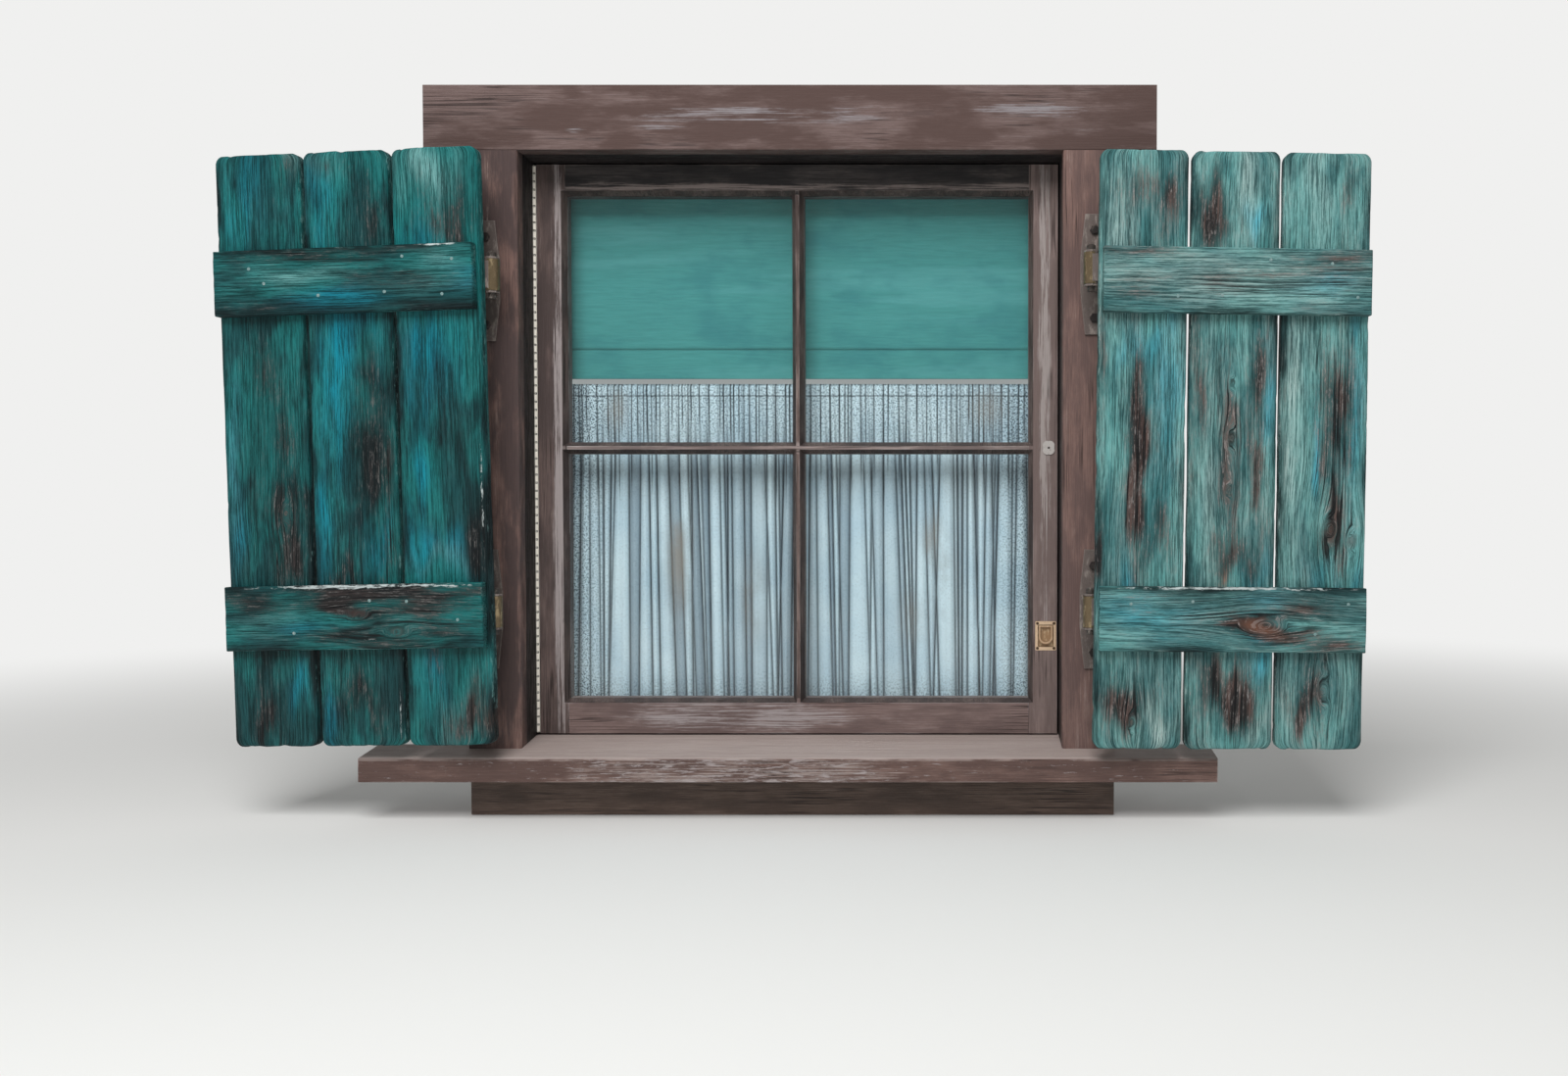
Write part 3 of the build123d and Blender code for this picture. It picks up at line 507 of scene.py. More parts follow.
# Metals: name, colour, worn colour, metallic share, roughness, share rubbed through, then where
# they differ from old_metal's own the noise's scale and the arrises' colour
METALS = {
    "iron": ("painted_hinge_iron", (98, 88, 84), (138, 128, 122), 0.0, 0.5, 0.5),
    "bolt": ("bolt_heads", (52, 47, 46), (92, 84, 78), 0.2, 0.5, 0.4),
    "barrel": ("hinge_barrel", (118, 102, 78), (176, 156, 122), 0.6, 0.34, 0.45),
    "pin": ("hinge_pin", (70, 64, 60), (150, 142, 134), 0.3, 0.4, 0.4),
    # Near-white knuckles: pale paint, brightened as a painted highlight
    "piano_hinge_pale_and_highlit": ("piano_hinge_pale_and_highlit", (252, 246, 234), (206, 192, 172), 0.0, 0.45, 0.2, 400.0),
    "hinge_leaf": ("hinge_leaf", (66, 60, 56), (104, 96, 88), 0.1, 0.5, 0.3, 400.0),
    "brass": ("pull_brass", (226, 196, 164), (190, 152, 118), 0.45, 0.36, 0.3, 260.0),
    # The ring's darker arris colour is a painted shade round its rim
    "ring": ("pull_ring_brass", (206, 172, 138), (236, 210, 180), 0.45, 0.34, 0.4, 260.0, (112, 82, 58)),
    # Darker brass on the cup's floor and dark tarnish on its walls, painted shade in the hollow; the tarnish
    # also colours the screws
    "cup": ("pull_cup_brass", (168, 134, 100), (214, 186, 150), 0.4, 0.36, 0.5, 260.0),
    "tarnish_and_shade": ("tarnished_brass_and_shade", (74, 54, 38), (104, 80, 58), 0.3, 0.5, 0.3, 260.0),
    "rod": ("curtain_rod_brass", (190, 160, 112), (150, 122, 84), 0.8, 0.35, 0.3),
    # The plug's dark arris colour is painted shade round it, with some grime
    "plug": ("plug_metal", (182, 176, 172), (140, 132, 128), 0.1, 0.5, 0.4, 300.0, (70, 62, 58)),
    "nail": ("nail_heads", (120, 150, 150), (176, 184, 180), 0.2, 0.5, 0.5, 500.0),
}

MATERIALS = {
    "left_shutter": shutter_paint("left_shutter_paint", {
        "Paint": (18, 108, 107), "Deep paint": (11, 58, 62), "Pale paint": (108, 158, 156),
        "Blue paint": (4, 132, 154), "Wood": (25, 25, 27), "Brown wood": (56, 45, 44),
        "Pale wood": (124, 122, 120)}, wear=0.02, pale_level=0.08, seed=0.0),
    "right_shutter": shutter_paint("right_shutter_paint", {
        "Paint": (94, 155, 153), "Deep paint": (48, 100, 103), "Pale paint": (162, 188, 184),
        "Blue paint": (70, 178, 200), "Wood": (40, 34, 34), "Brown wood": (98, 74, 68),
        "Pale wood": (160, 154, 152)}, wear=0.12, pale_level=0.35, seed=7.0),
    "sill": sill_paint(), "glass": pane_glass(), "curtain": curtain_cloth(), "blind": shade_cloth(),
    "bare": joinery_paint("bare_wood", "X", [(176, 142, 104), (150, 116, 82), (196, 166, 128)]),
    **{key: old_metal(*values) for key, values in METALS.items()}, **joinery_paints(),
}


# Pieces
def body_of_node(name):
    return next(body for body, names in BODIES.items() if name in names)


def mesh_of(bm, name):
    """Plain mesh of a bmesh, which is freed."""
    mesh = bpy.data.meshes.new(name)
    bm.to_mesh(mesh)
    bm.free()
    return mesh


def linked(name, data):
    """Object in the scene."""
    made = bpy.data.objects.new(name, data)
    bpy.context.scene.collection.objects.link(made)
    return made


def as_object(name, mesh, body, material, replaced=(), smooth=True):
    """Finished mesh as a piece that rides on its body."""
    made = linked(name, mesh)
    if not mesh.materials:
        mesh.materials.append(material)
    if smooth:
        mesh.shade_smooth()
    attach(made, body)
    if replaced:
        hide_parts(*replaced)
    return made


# Nodes with holes in their flat faces, by words in their names. A joined face would close them
HOLED = ("plate", "ring", "bracket", "strap", "plug", "socket", "jamb", "right_stile")
SHARP_ANGLE = math.radians(35)   # arrises sharper than this are eased
SOFT_ANGLE = math.radians(28)    # edges flatter than this are shaded smooth


def merged(node):
    """Welded copy of a CAD node as bmesh. Flat faces are joined where none has a hole."""
    bm = bmesh.new()
    bm.from_mesh(nodes[node].data)
    bmesh.ops.remove_doubles(bm, verts=bm.verts, dist=0.002 * MM)
    if not any(word in node for word in HOLED):
        bmesh.ops.dissolve_limit(bm, angle_limit=math.radians(0.5), verts=bm.verts, edges=bm.edges)
    return bm


def eased(node, material, width):
    """Copy of a CAD node with eased arrises, which carry the edge mask. The flats stay flat."""
    bm = merged(node)
    edge = bm.faces.layers.float.new("edge")
    sharp = [e for e in bm.edges if len(e.link_faces) == 2 and e.calc_face_angle(0) > SHARP_ANGLE
             and e.calc_length() > 4 * width]
    rounded = bmesh.ops.bevel(bm, geom=sharp, offset=width, segments=2, profile=0.6, affect="EDGES",
                              clamp_overlap=True)["faces"]
    for face in rounded:
        face[edge] = 1.0
    bmesh.ops.recalc_face_normals(bm, faces=bm.faces)
    for e in bm.edges:
        e.smooth = len({f[edge] for f in e.link_faces}) == 1 and e.calc_face_angle(0) < SOFT_ANGLE
    name = node + "_dressed"
    return as_object(name, mesh_of(bm, name), body_of_node(node), material, [node])


# Planks of the shutters
# Corner radius, width of the eased arrises, and share of the chips and waves
BOARD_FORM = (13 * MM, 3.0 * MM, 1.0)
BATTEN_FORM = (1.5 * MM, 2.6 * MM, 0.35)
CROSS_STEP = 4.4 * MM       # grid of a plank's faces, away from its edges
LONG_STEP = 5.0 * MM
EASE_LINES = (0.0, 0.25, 0.6, 1.1, 2.2)   # grid lines near an edge, in widths of its easing
SEED_SHIFT = 1.3            # added to a plank's number, for the seed of its noise


def plank_axes(node):
    """Centre, (across, along, out) directions and sizes of a plank, from its CAD solid."""
    mesh = nodes[node].data
    faces = sorted(mesh.polygons, key=lambda polygon: -polygon.area)
    out = Vector(faces[0].normal)
    out = -out if out.y > 0 else out
    side = next(f.normal for f in faces if abs(f.normal.dot(out)) < 0.1)
    across = Vector(side) if side.x + side.z > 0 else -Vector(side)
    along = out.cross(across) if out.cross(across).z + out.cross(across).x > 0 else across.cross(out)
    points = np.array([v.co for v in mesh.vertices])
    spans = [points @ np.array(axis) for axis in (across, along, out)]
    sizes = [float(s.max() - s.min()) for s in spans]
    middle = [float(s.max() + s.min()) / 2 for s in spans]
    centre = sum((axis * value for axis, value in zip((across, along, out), middle)), Vector())
    return centre, (across, along, out), sizes


def spaced(length, step, margin):
    """Grid lines over a length, closer together near both ends."""
    inner = length / 2 - margin[-1]
    count = max(2, round(2 * inner / step))
    middle = [-inner + 2 * inner * i / count for i in range(count + 1)]
    ends = [length / 2 - m for m in margin[:-1]]
    return [-e for e in ends] + middle + ends[::-1]


def smooth_step(value, low, high):
    share = min(1.0, max(0.0, (value - low) / (high - low)))
    return share * share * (3 - 2 * share)


def rough(x, y, z=0.0):
    """Noise from -1 to 1 at a place."""
    return noise.noise(Vector((x, y, z)))


def mark_at(marks, x, t):
    """Strength at a place on the plank of the marks (x, t, half width, half length, strength)."""
    total = sum(strength * math.exp(-((x - centre_x) / wide) ** 2 - ((t - centre_t) / tall) ** 2)
                for centre_x, centre_t, wide, tall, strength in marks)
    return min(1.1, total)


def bent_grain(x, t, seed, knots):
    """Grain coordinates of a slightly wavy plank, with the fibres led round the knots (x, t, radius)."""
    across = x + 5.0 * MM * rough(x * 9.0, t * 3.4, seed) + 1.2 * MM * rough(x * 30.0, t * 16.0, seed + 5.0)
    along = t
    for knot_x, knot_t, radius in knots:
        dx, dt = x - knot_x, t - knot_t
        reach = math.exp(-(dt / (4.2 * radius)) ** 2) * math.exp(-abs(dx) / (3.4 * radius))
        across -= math.tanh(dx / (0.7 * radius)) * 0.7 * radius * reach
        distance = math.hypot(dx, dt * 0.55) * (1 + 0.35 * rough(dx * 40.0, dt * 30.0, seed))
        inside = 1 - smooth_step(distance, 0.2 * radius, 1.1 * radius)
        across += inside * (knot_x + distance * 0.8 - across)
        along += inside * (knot_t + math.atan2(dt, dx) * radius * 0.05 - along)
    return across, along


def worn_outline(x, t, half_w, half_l, corner, seed, waviness):
    """Place on a plank's face, moved for its round corners, chipped edges and wavy ends."""
    past = abs(t) - (half_l - corner)
    pull = corner - math.sqrt(max(0.0, corner ** 2 - past ** 2)) if past > 0 else 0.0
    bite = rough(seed * 7.3 + math.copysign(3.0, x), t * 9.0)
    chip = rough(seed * 3.1 + math.copysign(9.0, x), t * 46.0, 4.0)
    loss = 1.2 * MM * abs(bite) + 2.6 * MM * max(0.0, chip - 0.28)
    px = x * (1 - pull / half_w)
    px -= math.copysign(loss * waviness * smooth_step(abs(x) - half_w, -14 * MM, 0.0), x)
    wave = 2.6 * MM * (0.5 + 0.5 * rough(x * 26.0, seed * 5.7 + math.copysign(2, t)))
    wave += 3.4 * MM * max(0.0, rough(x * 60.0, seed * 2.7, math.copysign(6, t)) - 0.15)
    return px, t - math.copysign(wave * waviness * smooth_step(abs(t) - half_l, -30 * MM, 0.0), t)


def masks_at(x, t, half_w, seed, features):
    """Values of a plank's masks at a place. Noise warps the marks and breaks them up. The dark mask also
    darkens towards the long edges: painted shade, with grime.
    """
    warped_x = x + 10 * MM * rough(x * 45.0, t * 14.0, seed + 20.0)
    warped_t = t + 60 * MM * rough(x * 38.0, t * 6.0, seed + 30.0)
    patchy = 0.72 + 0.75 * rough(x * 60.0, t * 15.0, seed + 40.0)
    masks = {kind: min(1.0, mark_at(features.get(kind, ()), warped_x, warped_t) * patchy * 1.3)
             for kind in ("worn", "blue", "pale", "dark", "bare", "crack")}
    masks["white"] = mark_at(features.get("white", ()), x, t)
    # Painted shade, with some grime: the dark mask grows towards the plank's long edges, by the gaps between
    # boards
    edge_shade_and_grime = 0.5 + rough(seed * 2.0 + math.copysign(4.0, x), t * 12.0, 8.0)
    masks["dark"] = min(1.0, masks["dark"] + edge_shade_and_grime * (1 - smooth_step(half_w - abs(x), 0.0, 16 * MM)))
    masks["knot"] = max([1 - smooth_step(math.hypot(x - knot_x, (t - knot_t) * 0.7), 0.4 * r, 0.9 * r)
                         for knot_x, knot_t, r in features.get("knots", ())], default=0.0)
    return masks


def plank(node, material, seed, features, corner, ease, waviness):
    """Worn plank in place of a CAD board: wavy ends, chipped edges, eased arrises and open grain."""
    centre, (across, along, out), (width, length, thickness) = plank_axes(node)
    half_w, half_l = width / 2, length / 2
    margin = [share * ease for share in EASE_LINES]
    xs, ts = spaced(width, CROSS_STEP, margin), spaced(length, LONG_STEP, margin)
    bm = bmesh.new()
    layers = {name: bm.verts.layers.float.new(name) for name in PLANK_MASKS}
    grain = bm.verts.layers.float_vector.new("along")
    shift = Vector((seed * 0.37, seed * 1.9, seed * 0.11))

    def vertex(x, t, side):
        px, pt = worn_outline(x, t, half_w, half_l, corner, seed, waviness)
        inset = min(half_w - abs(x), half_l - abs(t))
        turn = max(0.0, 1 - inset / ease)
        drop = ease * (1 - math.sqrt(max(0.0, 1 - turn * turn)))
        relief = 0.35 * MM * (0.5 + 0.5 * rough(x * 260.0, t * 9.0, seed * 4.0 + side))
        level = side * (thickness / 2 - drop - relief * smooth_step(inset, 0.0, 4 * MM))
        made = bm.verts.new(centre + across * px + along * pt + out * level)
        made[grain] = Vector((*bent_grain(x, t, seed, features.get("knots", ())), level)) + shift
        made[layers["edge"]] = 1 - smooth_step(inset, 0.6 * MM, 5 * MM)
        for kind, strength in masks_at(x, t, half_w, seed, features).items():
            made[layers[kind]] = strength
        return made

    close_sheets(bm, [[[vertex(x, t, side) for x in xs] for t in ts] for side in (1, -1)])
    name = node + "_plank"
    return as_object(name, mesh_of(bm, name), body_of_node(node), material, [node])


def close_sheets(bm, sheets):
    """Faces of two matching grids and of the rim that joins them."""
    front, back = sheets
    rows, columns = len(front), len(front[0])
    for j in range(rows - 1):
        for i in range(columns - 1):
            bm.faces.new((front[j][i], front[j][i + 1], front[j + 1][i + 1], front[j + 1][i]))
            bm.faces.new((back[j][i], back[j + 1][i], back[j + 1][i + 1], back[j][i + 1]))
    rim = [(0, i) for i in range(columns)] + [(j, columns - 1) for j in range(1, rows)]
    rim += [(rows - 1, i) for i in range(columns - 2, -1, -1)] + [(j, 0) for j in range(rows - 2, 0, -1)]
    for (j, i), (k, m) in zip(rim, rim[1:] + rim[:1]):
        bm.faces.new((front[j][i], back[j][i], back[k][m], front[k][m]))
    bmesh.ops.recalc_face_normals(bm, faces=bm.faces)


def scaled_marks(features):
    """Marks and knots in metres. Their last value is a strength, but for the knots' radius."""
    done = {}
    for kind, marks in features.items():
        lengths = 3 if kind == "knots" else 4
        done[kind] = [tuple(v * MM if i < lengths else v for i, v in enumerate(mark)) for mark in marks]
    return done


# Marks of each plank in millimetres from its middle: across, along, half width, half length and
# strength. A knot is its place and radius
# The dark marks are partly weathering and partly painted shade. White marks along a batten's upper arris,
# about 45 mm across, are painted highlights; the other white marks are chalky flecks.
BOARD_MARKS = {
    "left_board_3": {
        "worn": [(24, -60, 28, 110, 0.75), (0, 135, 16, 50, 0.35), (40, -150, 20, 46, 0.6),
                 (-8, -385, 26, 56, 0.7), (50, 390, 14, 40, 0.4)],
        "dark": [(12, -50, 48, 140, 0.9), (4, 120, 26, 60, 0.6), (0, -290, 60, 40, 0.5),
                 (-10, -385, 30, 60, 0.6), (10, 250, 60, 24, 0.4)],
        "blue": [(38, -340, 14, 26, 0.8), (-52, -20, 9, 110, 0.5), (-20, 380, 30, 60, 0.35),
                 (-46, -110, 14, 50, 0.5)],
        "pale": [(56, 410, 8, 30, 0.8), (-52, -40, 8, 110, 0.5), (30, -170, 20, 24, 0.4)],
        "white": [(59, -110, 2, 60, 0.6), (12, -160, 3, 26, 0.5)],
        "crack": [(20, -80, 26, 100, 0.9), (-10, -390, 26, 50, 0.8)],
        "knots": [(26, -90, 10)],
    },
    "left_board_2": {
        "worn": [(26, -40, 26, 100, 0.6), (0, -186, 52, 18, 0.75), (30, 350, 20, 50, 0.45),
                 (-10, 405, 44, 22, 0.45), (0, -385, 40, 40, 0.5), (40, 60, 14, 90, 0.4)],
        "dark": [(26, -10, 34, 150, 0.95), (0, -380, 50, 50, 0.8), (0, -286, 60, 36, 0.5),
                 (34, 340, 26, 60, 0.5)],
        "blue": [(-24, 130, 24, 62, 1.0), (-52, -110, 12, 56, 0.9), (30, -130, 18, 34, 0.7),
                 (-50, -400, 12, 40, 0.9), (-24, 30, 20, 80, 0.5), (-40, 340, 18, 60, 0.5),
                 (20, 180, 30, 34, 0.4)],
        "pale": [(-30, 410, 20, 30, 0.4)],
        "white": [(58, -390, 3, 50, 0.6), (-40, -424, 20, 4, 0.4)],
        "crack": [(10, -170, 50, 40, 0.8), (30, -20, 20, 60, 0.5)],
    },
    "left_board_1": {
        "worn": [(40, 345, 20, 50, 0.8), (50, -120, 14, 48, 1.0), (0, 350, 44, 40, 0.35),
                 (32, -402, 40, 34, 1.0), (-16, -300, 12, 40, 0.5)],
        "dark": [(2, 90, 16, 90, 0.85), (40, 350, 24, 64, 0.7), (46, -110, 22, 80, 0.9),
                 (-2, -300, 40, 50, 0.5), (40, 20, 22, 60, 0.5)],
        "blue": [(-14, 140, 46, 66, 0.7), (-34, -30, 12, 40, 1.0), (-40, -150, 18, 44, 0.8),
                 (-26, -330, 20, 40, 0.6), (10, -170, 30, 24, 0.5), (-20, 300, 30, 40, 0.4)],
        "pale": [(-12, 412, 40, 32, 0.9), (10, 340, 20, 30, 0.35), (20, -400, 34, 30, 0.8),
                 (0, -178, 50, 12, 0.5)],
        "white": [(58, -60, 2.5, 100, 0.75), (60, 240, 2.5, 120, 0.5), (58, -400, 3, 40, 0.5),
                  (20, -418, 26, 3, 0.5)],
        "bare": [(50, -390, 16, 36, 0.2)],
        "crack": [(50, -120, 14, 60, 1.0), (10, -400, 46, 44, 0.6)],
    },
    "left_upper_batten": {
        "worn": [(36, 0, 12, 100, 0.7), (0, 60, 14, 90, 0.4), (-36, -120, 12, 60, 0.4)],
        "dark": [(38, 10, 12, 100, 1.0), (4, 70, 12, 90, 0.6), (-36, -120, 16, 90, 0.7),
                 (-40, 120, 8, 90, 0.6)],
        "blue": [(-28, -20, 14, 50, 0.9), (0, 170, 20, 40, 0.4)],
        "pale": [(8, -70, 14, 60, 0.6), (30, 150, 14, 40, 0.6), (-4, 110, 16, 70, 0.35)],
        "white": [(46, 146, 2.5, 30, 0.9), (46, -10, 1.6, 120, 0.35)],
        "crack": [(34, -10, 14, 110, 0.9), (0, 80, 20, 80, 0.7)],
    },
    "left_lower_batten": {
        "worn": [(34, 0, 16, 200, 0.8), (8, 110, 30, 80, 0.6), (-34, 40, 12, 110, 0.5), (8, 4, 20, 24, 0.6),
                 (20, -150, 14, 50, 0.4)],
        "dark": [(30, 0, 20, 200, 0.8), (0, 6, 34, 24, 1.0), (-30, 100, 16, 100, 0.7)],
        "blue": [(-14, -60, 14, 30, 0.5)],
        "pale": [(0, -110, 22, 60, 0.25), (-10, 60, 20, 50, 0.25)],
        "white": [(45, -20, 4, 150, 1.0), (44, 150, 3, 40, 0.6), (-34, 26, 4, 24, 0.5)],
        "crack": [(0, 70, 40, 110, 0.8)],
        "knots": [(4, 8, 11), (-22, 66, 13)],
    },
    "right_board_1": {
        "worn": [(-6, -10, 9, 115, 1.0), (-8, 20, 22, 130, 0.4), (-22, -370, 26, 50, 0.75),
                 (38, 350, 18, 44, 0.6), (-10, 390, 46, 40, 0.35), (-58, 130, 8, 60, 0.6),
                 (26, -130, 24, 60, 0.5), (-58, -120, 6, 50, 0.9)],
        "dark": [(-6, -10, 10, 110, 0.8), (-20, -380, 26, 50, 0.5)],
        "blue": [(40, 60, 22, 120, 0.4), (-16, -170, 10, 34, 0.9), (0, 150, 40, 30, 0.4)],
        "pale": [(-30, 320, 20, 90, 0.5), (30, -404, 22, 24, 0.9)],
        "white": [(36, -412, 16, 9, 0.5), (-60, -60, 2.5, 80, 0.5)],
        "crack": [(-6, -10, 12, 120, 0.8), (-16, -370, 30, 50, 1.0)],
        "knots": [(-8, -398, 10)],
    },
    "right_board_2": {
        "worn": [(36, 60, 13, 150, 0.8), (-50, 60, 10, 130, 0.5), (-8, -80, 16, 80, 0.6),
                 (0, -362, 46, 50, 0.95), (-34, 340, 24, 44, 0.85), (-4, 80, 12, 90, 0.5),
                 (20, -150, 40, 40, 0.4)],
        "dark": [(-36, 340, 24, 46, 0.6), (-4, -362, 44, 50, 0.7), (-12, -100, 14, 90, 0.4)],
        "blue": [(57, 70, 8, 70, 1.0), (40, -310, 20, 30, 0.7), (28, 335, 14, 14, 0.7),
                 (40, -190, 20, 30, 0.4)],
        "pale": [(18, 372, 13, 56, 0.8), (-34, -60, 18, 90, 0.5), (44, -110, 12, 60, 0.4),
                 (40, -410, 18, 20, 0.6)],
        "white": [(40, -416, 16, 9, 0.5), (-58, -380, 3, 40, 0.4)],
        "bare": [(-14, -180, 8, 28, 1.0)],
        "crack": [(-4, 30, 16, 130, 0.9), (0, -360, 40, 50, 0.8)],
        "knots": [(-2, 100, 7), (-2, 20, 10), (-6, -56, 8)],
    },
    "right_board_3": {
        "worn": [(16, 50, 26, 100, 0.7), (16, -120, 20, 44, 1.0), (-8, -350, 24, 60, 0.6),
                 (30, 380, 16, 60, 0.3), (-30, -380, 14, 40, 0.5)],
        "dark": [(14, -116, 20, 46, 0.8), (26, 60, 20, 90, 0.4)],
        "blue": [(-10, 0, 6, 40, 0.9), (46, 30, 14, 140, 0.4), (20, -190, 40, 20, 0.4)],
        "pale": [(-46, 40, 14, 150, 0.7), (-12, 380, 14, 60, 0.6), (-44, -370, 10, 50, 0.6)],
        "white": [(50, -420, 14, 4, 0.4)],
        "crack": [(14, 0, 28, 150, 1.0), (26, -130, 30, 60, 1.0), (4, -350, 26, 60, 0.9)],
        "knots": [(44, -128, 13), (12, -112, 16), (6, -350, 15)],
    },
    "right_upper_batten": {
        "worn": [(30, 130, 12, 60, 0.6), (-20, -120, 16, 60, 0.5), (6, 10, 12, 120, 0.35),
                 (38, -140, 8, 60, 0.5)],
        "blue": [(-4, 112, 14, 40, 0.5)],
        "pale": [(6, -20, 34, 150, 0.55)],
        "white": [(46, -120, 2, 80, 0.5), (46, 100, 1.6, 60, 0.35)],
        "crack": [(-10, 40, 30, 140, 0.6)],
    },
    "right_lower_batten": {
        "worn": [(-6, 46, 22, 46, 1.0), (-30, 110, 14, 80, 0.8), (20, 130, 18, 50, 0.7),
                 (20, -130, 16, 40, 0.4), (-10, 10, 12, 40, 0.6)],
        "dark": [(16, 120, 24, 70, 0.6), (30, -40, 12, 60, 0.4)],
        "blue": [(10, -140, 26, 60, 0.5), (-24, 40, 10, 24, 0.7), (30, 40, 12, 30, 0.6)],
        "white": [(45.5, 0, 3, 190, 1.0), (0, 118, 14, 24, 0.42), (-20, 30, 8, 24, 0.4)],
        "bare": [(-12, 50, 16, 26, 0.4)],
        "crack": [(0, 60, 40, 110, 1.0), (10, -60, 30, 60, 0.6)],
        "knots": [(-8, 46, 20)],
    },
}

# Nails through each batten: millimetres along and across its face
BATTEN_NAILS = {
    "left_upper_batten": [(-140, 20), (-118, -2), (-36, -22), (64, -20), (92, 30), (150, -26), (166, 24)],
    "left_lower_batten": [(-90, -22), (26, 24), (82, 22), (158, -6)],
    "right_upper_batten": [(-88, -24), (-24, -22), (46, 30), (136, 26), (174, -22)],
    "right_lower_batten": [(-150, 22), (-60, 26), (120, -20), (168, 24)],
}


def make_shutters():
    """Worn planks of both shutters."""
    for index, (node, features) in enumerate(BOARD_MARKS.items()):
        paint = MATERIALS[node.split("_")[0] + "_shutter"]
        form = BOARD_FORM if "board" in node else BATTEN_FORM
        plank(node, paint, index + SEED_SHIFT, scaled_marks(features), *form)


# Fasteners
FRONT = Vector((0, -1, 0))
# Radius, height, crown's share of the radius and number of sides of each kind of head
HEAD_FORMS = {
    "nail": (2.4 * MM, 1.4 * MM, 0.6, 10),
    "bolt": (7.2 * MM, 5.0 * MM, 0.82, 6),
    "strap_screw": (4.4 * MM, 1.6 * MM, 0.55, 12),
    "pull_screw": (2.3 * MM, 0.7 * MM, 0.5, 10),
}
NAIL_SUNK = 0.9 * MM
STRAP_SCREW_SUNK = 0.4 * MM
STRAP_SCREWS = (-80 * MM, -20 * MM, 40 * MM, 100 * MM)   # along the strap, from its middle
BRACKET_THICKNESS = 4 * MM
BRACKET_X = 0.459         # middle of a bracket's plate, from the window's middle
BOLT_OFFSET = 66 * MM     # of the bolts, above and below the bracket's middle
PULL_SCREW_INSET = 3.4 * MM
WELD = 0.001 * MM


def head_tree():
    """Fastener heads on the given points: a prism with a lower, narrower crown."""
    w, given, out = node_group(
        "fastener heads", "GeometryNodeTree", {
            "Geometry": "Geometry", "Radius": "Float", "Height": "Float", "Crown share": "Float",
            "Sides": "Int", "Finish": "Material"}, {"Geometry": "Geometry"})
    wall = w.times(given["Height"], 0.7)
    body = w.add("GeometryNodeMeshCylinder", {
        "Vertices": given["Sides"], "Radius": given["Radius"], "Depth": wall})
    crown = w.add("GeometryNodeMeshCone", {
        "Vertices": given["Sides"], "Radius Top": w.times(given["Radius"], given["Crown share"]),
        "Radius Bottom": given["Radius"], "Depth": w.times(given["Height"], 0.3)})
    both = [w.add("GeometryNodeTransform", {"Geometry": shape.outputs["Mesh"],
                                            "Translation": w.joined(z=height)}).outputs[0]
            for shape, height in ((body, w.times(wall, 0.5)), (crown, wall))]
    way = w.add("GeometryNodeInputNamedAttribute", {"Name": "out"}, data_type="FLOAT_VECTOR").outputs[0]
    turned = w.add("FunctionNodeAlignRotationToVector", {"Vector": way}, axis="Z").outputs[0]
    spin = w.add("FunctionNodeRandomValue", {"Min": 0.0, "Max": 6.0, "Seed": 4}, data_type="FLOAT")
    spun = w.add("FunctionNodeAxisAngleToRotation", {"Angle": spin.outputs[1]}).outputs[0]
    rotation = w.add("FunctionNodeRotateRotation", {0: turned, 1: spun}, rotation_space="LOCAL")
    placed = w.add("GeometryNodeInstanceOnPoints", {
        "Points": given["Geometry"], "Instance": w.join(*both), "Rotation": rotation.outputs[0]})
    real = w.add("GeometryNodeRealizeInstances", {0: placed.outputs[0]}).outputs[0]
    done = w.add("GeometryNodeSetMaterial", {"Geometry": real, "Material": given["Finish"]})
    into(w, out, Geometry=done.outputs[0])
    return w.tree


HEADS = head_tree()


def by_tree(name, tree, body, mesh, inputs, replaced=()):
    """Plain mesh that a geometry tree makes from the given one, as a piece on its body."""
    holder = linked(name + "_holder", mesh)
    modifier = holder.modifiers.new("tree", "NODES")
    modifier.node_group = tree
    for item in tree.interface.items_tree:
        if item.in_out == "INPUT" and item.name in inputs:
            modifier[item.identifier] = inputs[item.name]
    evaluated = holder.evaluated_get(bpy.context.evaluated_depsgraph_get())
    made = bpy.data.meshes.new_from_object(evaluated)
    holder.modifiers.clear()
    bpy.data.objects.remove(holder)
    made.name = name
    bm = bmesh.new()
    bm.from_mesh(made)
    bmesh.ops.remove_doubles(bm, verts=bm.verts, dist=WELD)
    bmesh.ops.recalc_face_normals(bm, faces=bm.faces)
    bm.to_mesh(made)
    bm.free()
    return as_object(name, made, body, inputs["Finish"], replaced, smooth=False)


def heads(name, body, spots, form, material):
    """Fastener heads of one form at (place, outward direction)."""
    mesh = bpy.data.meshes.new(name + "_points")
    mesh.from_pydata([place for place, out in spots], [], [])
    layer = mesh.attributes.new("out", "FLOAT_VECTOR", "POINT")
    layer.data.foreach_set("vector", [c for place, out in spots for c in out])
    inputs = dict(zip(("Radius", "Height", "Crown share", "Sides"), HEAD_FORMS[form]))
    return by_tree(name, HEADS, body, mesh, {**inputs, "Finish": MATERIALS[material]})


def make_nails():
    """Nail heads on each batten's face."""
    for side in SIDES:
        spots = []
        for node, places in BATTEN_NAILS.items():
            if node.startswith(side):
                centre, (across, along, out), (_, _, thickness) = plank_axes(node)
                face = centre + out * (thickness / 2 - NAIL_SUNK)
                spots += [(face + along * (a * MM) + across * (b * MM), out) for a, b in places]
        heads(side + "_shutter_nails", side + "_shutter", spots, "nail", "nail")


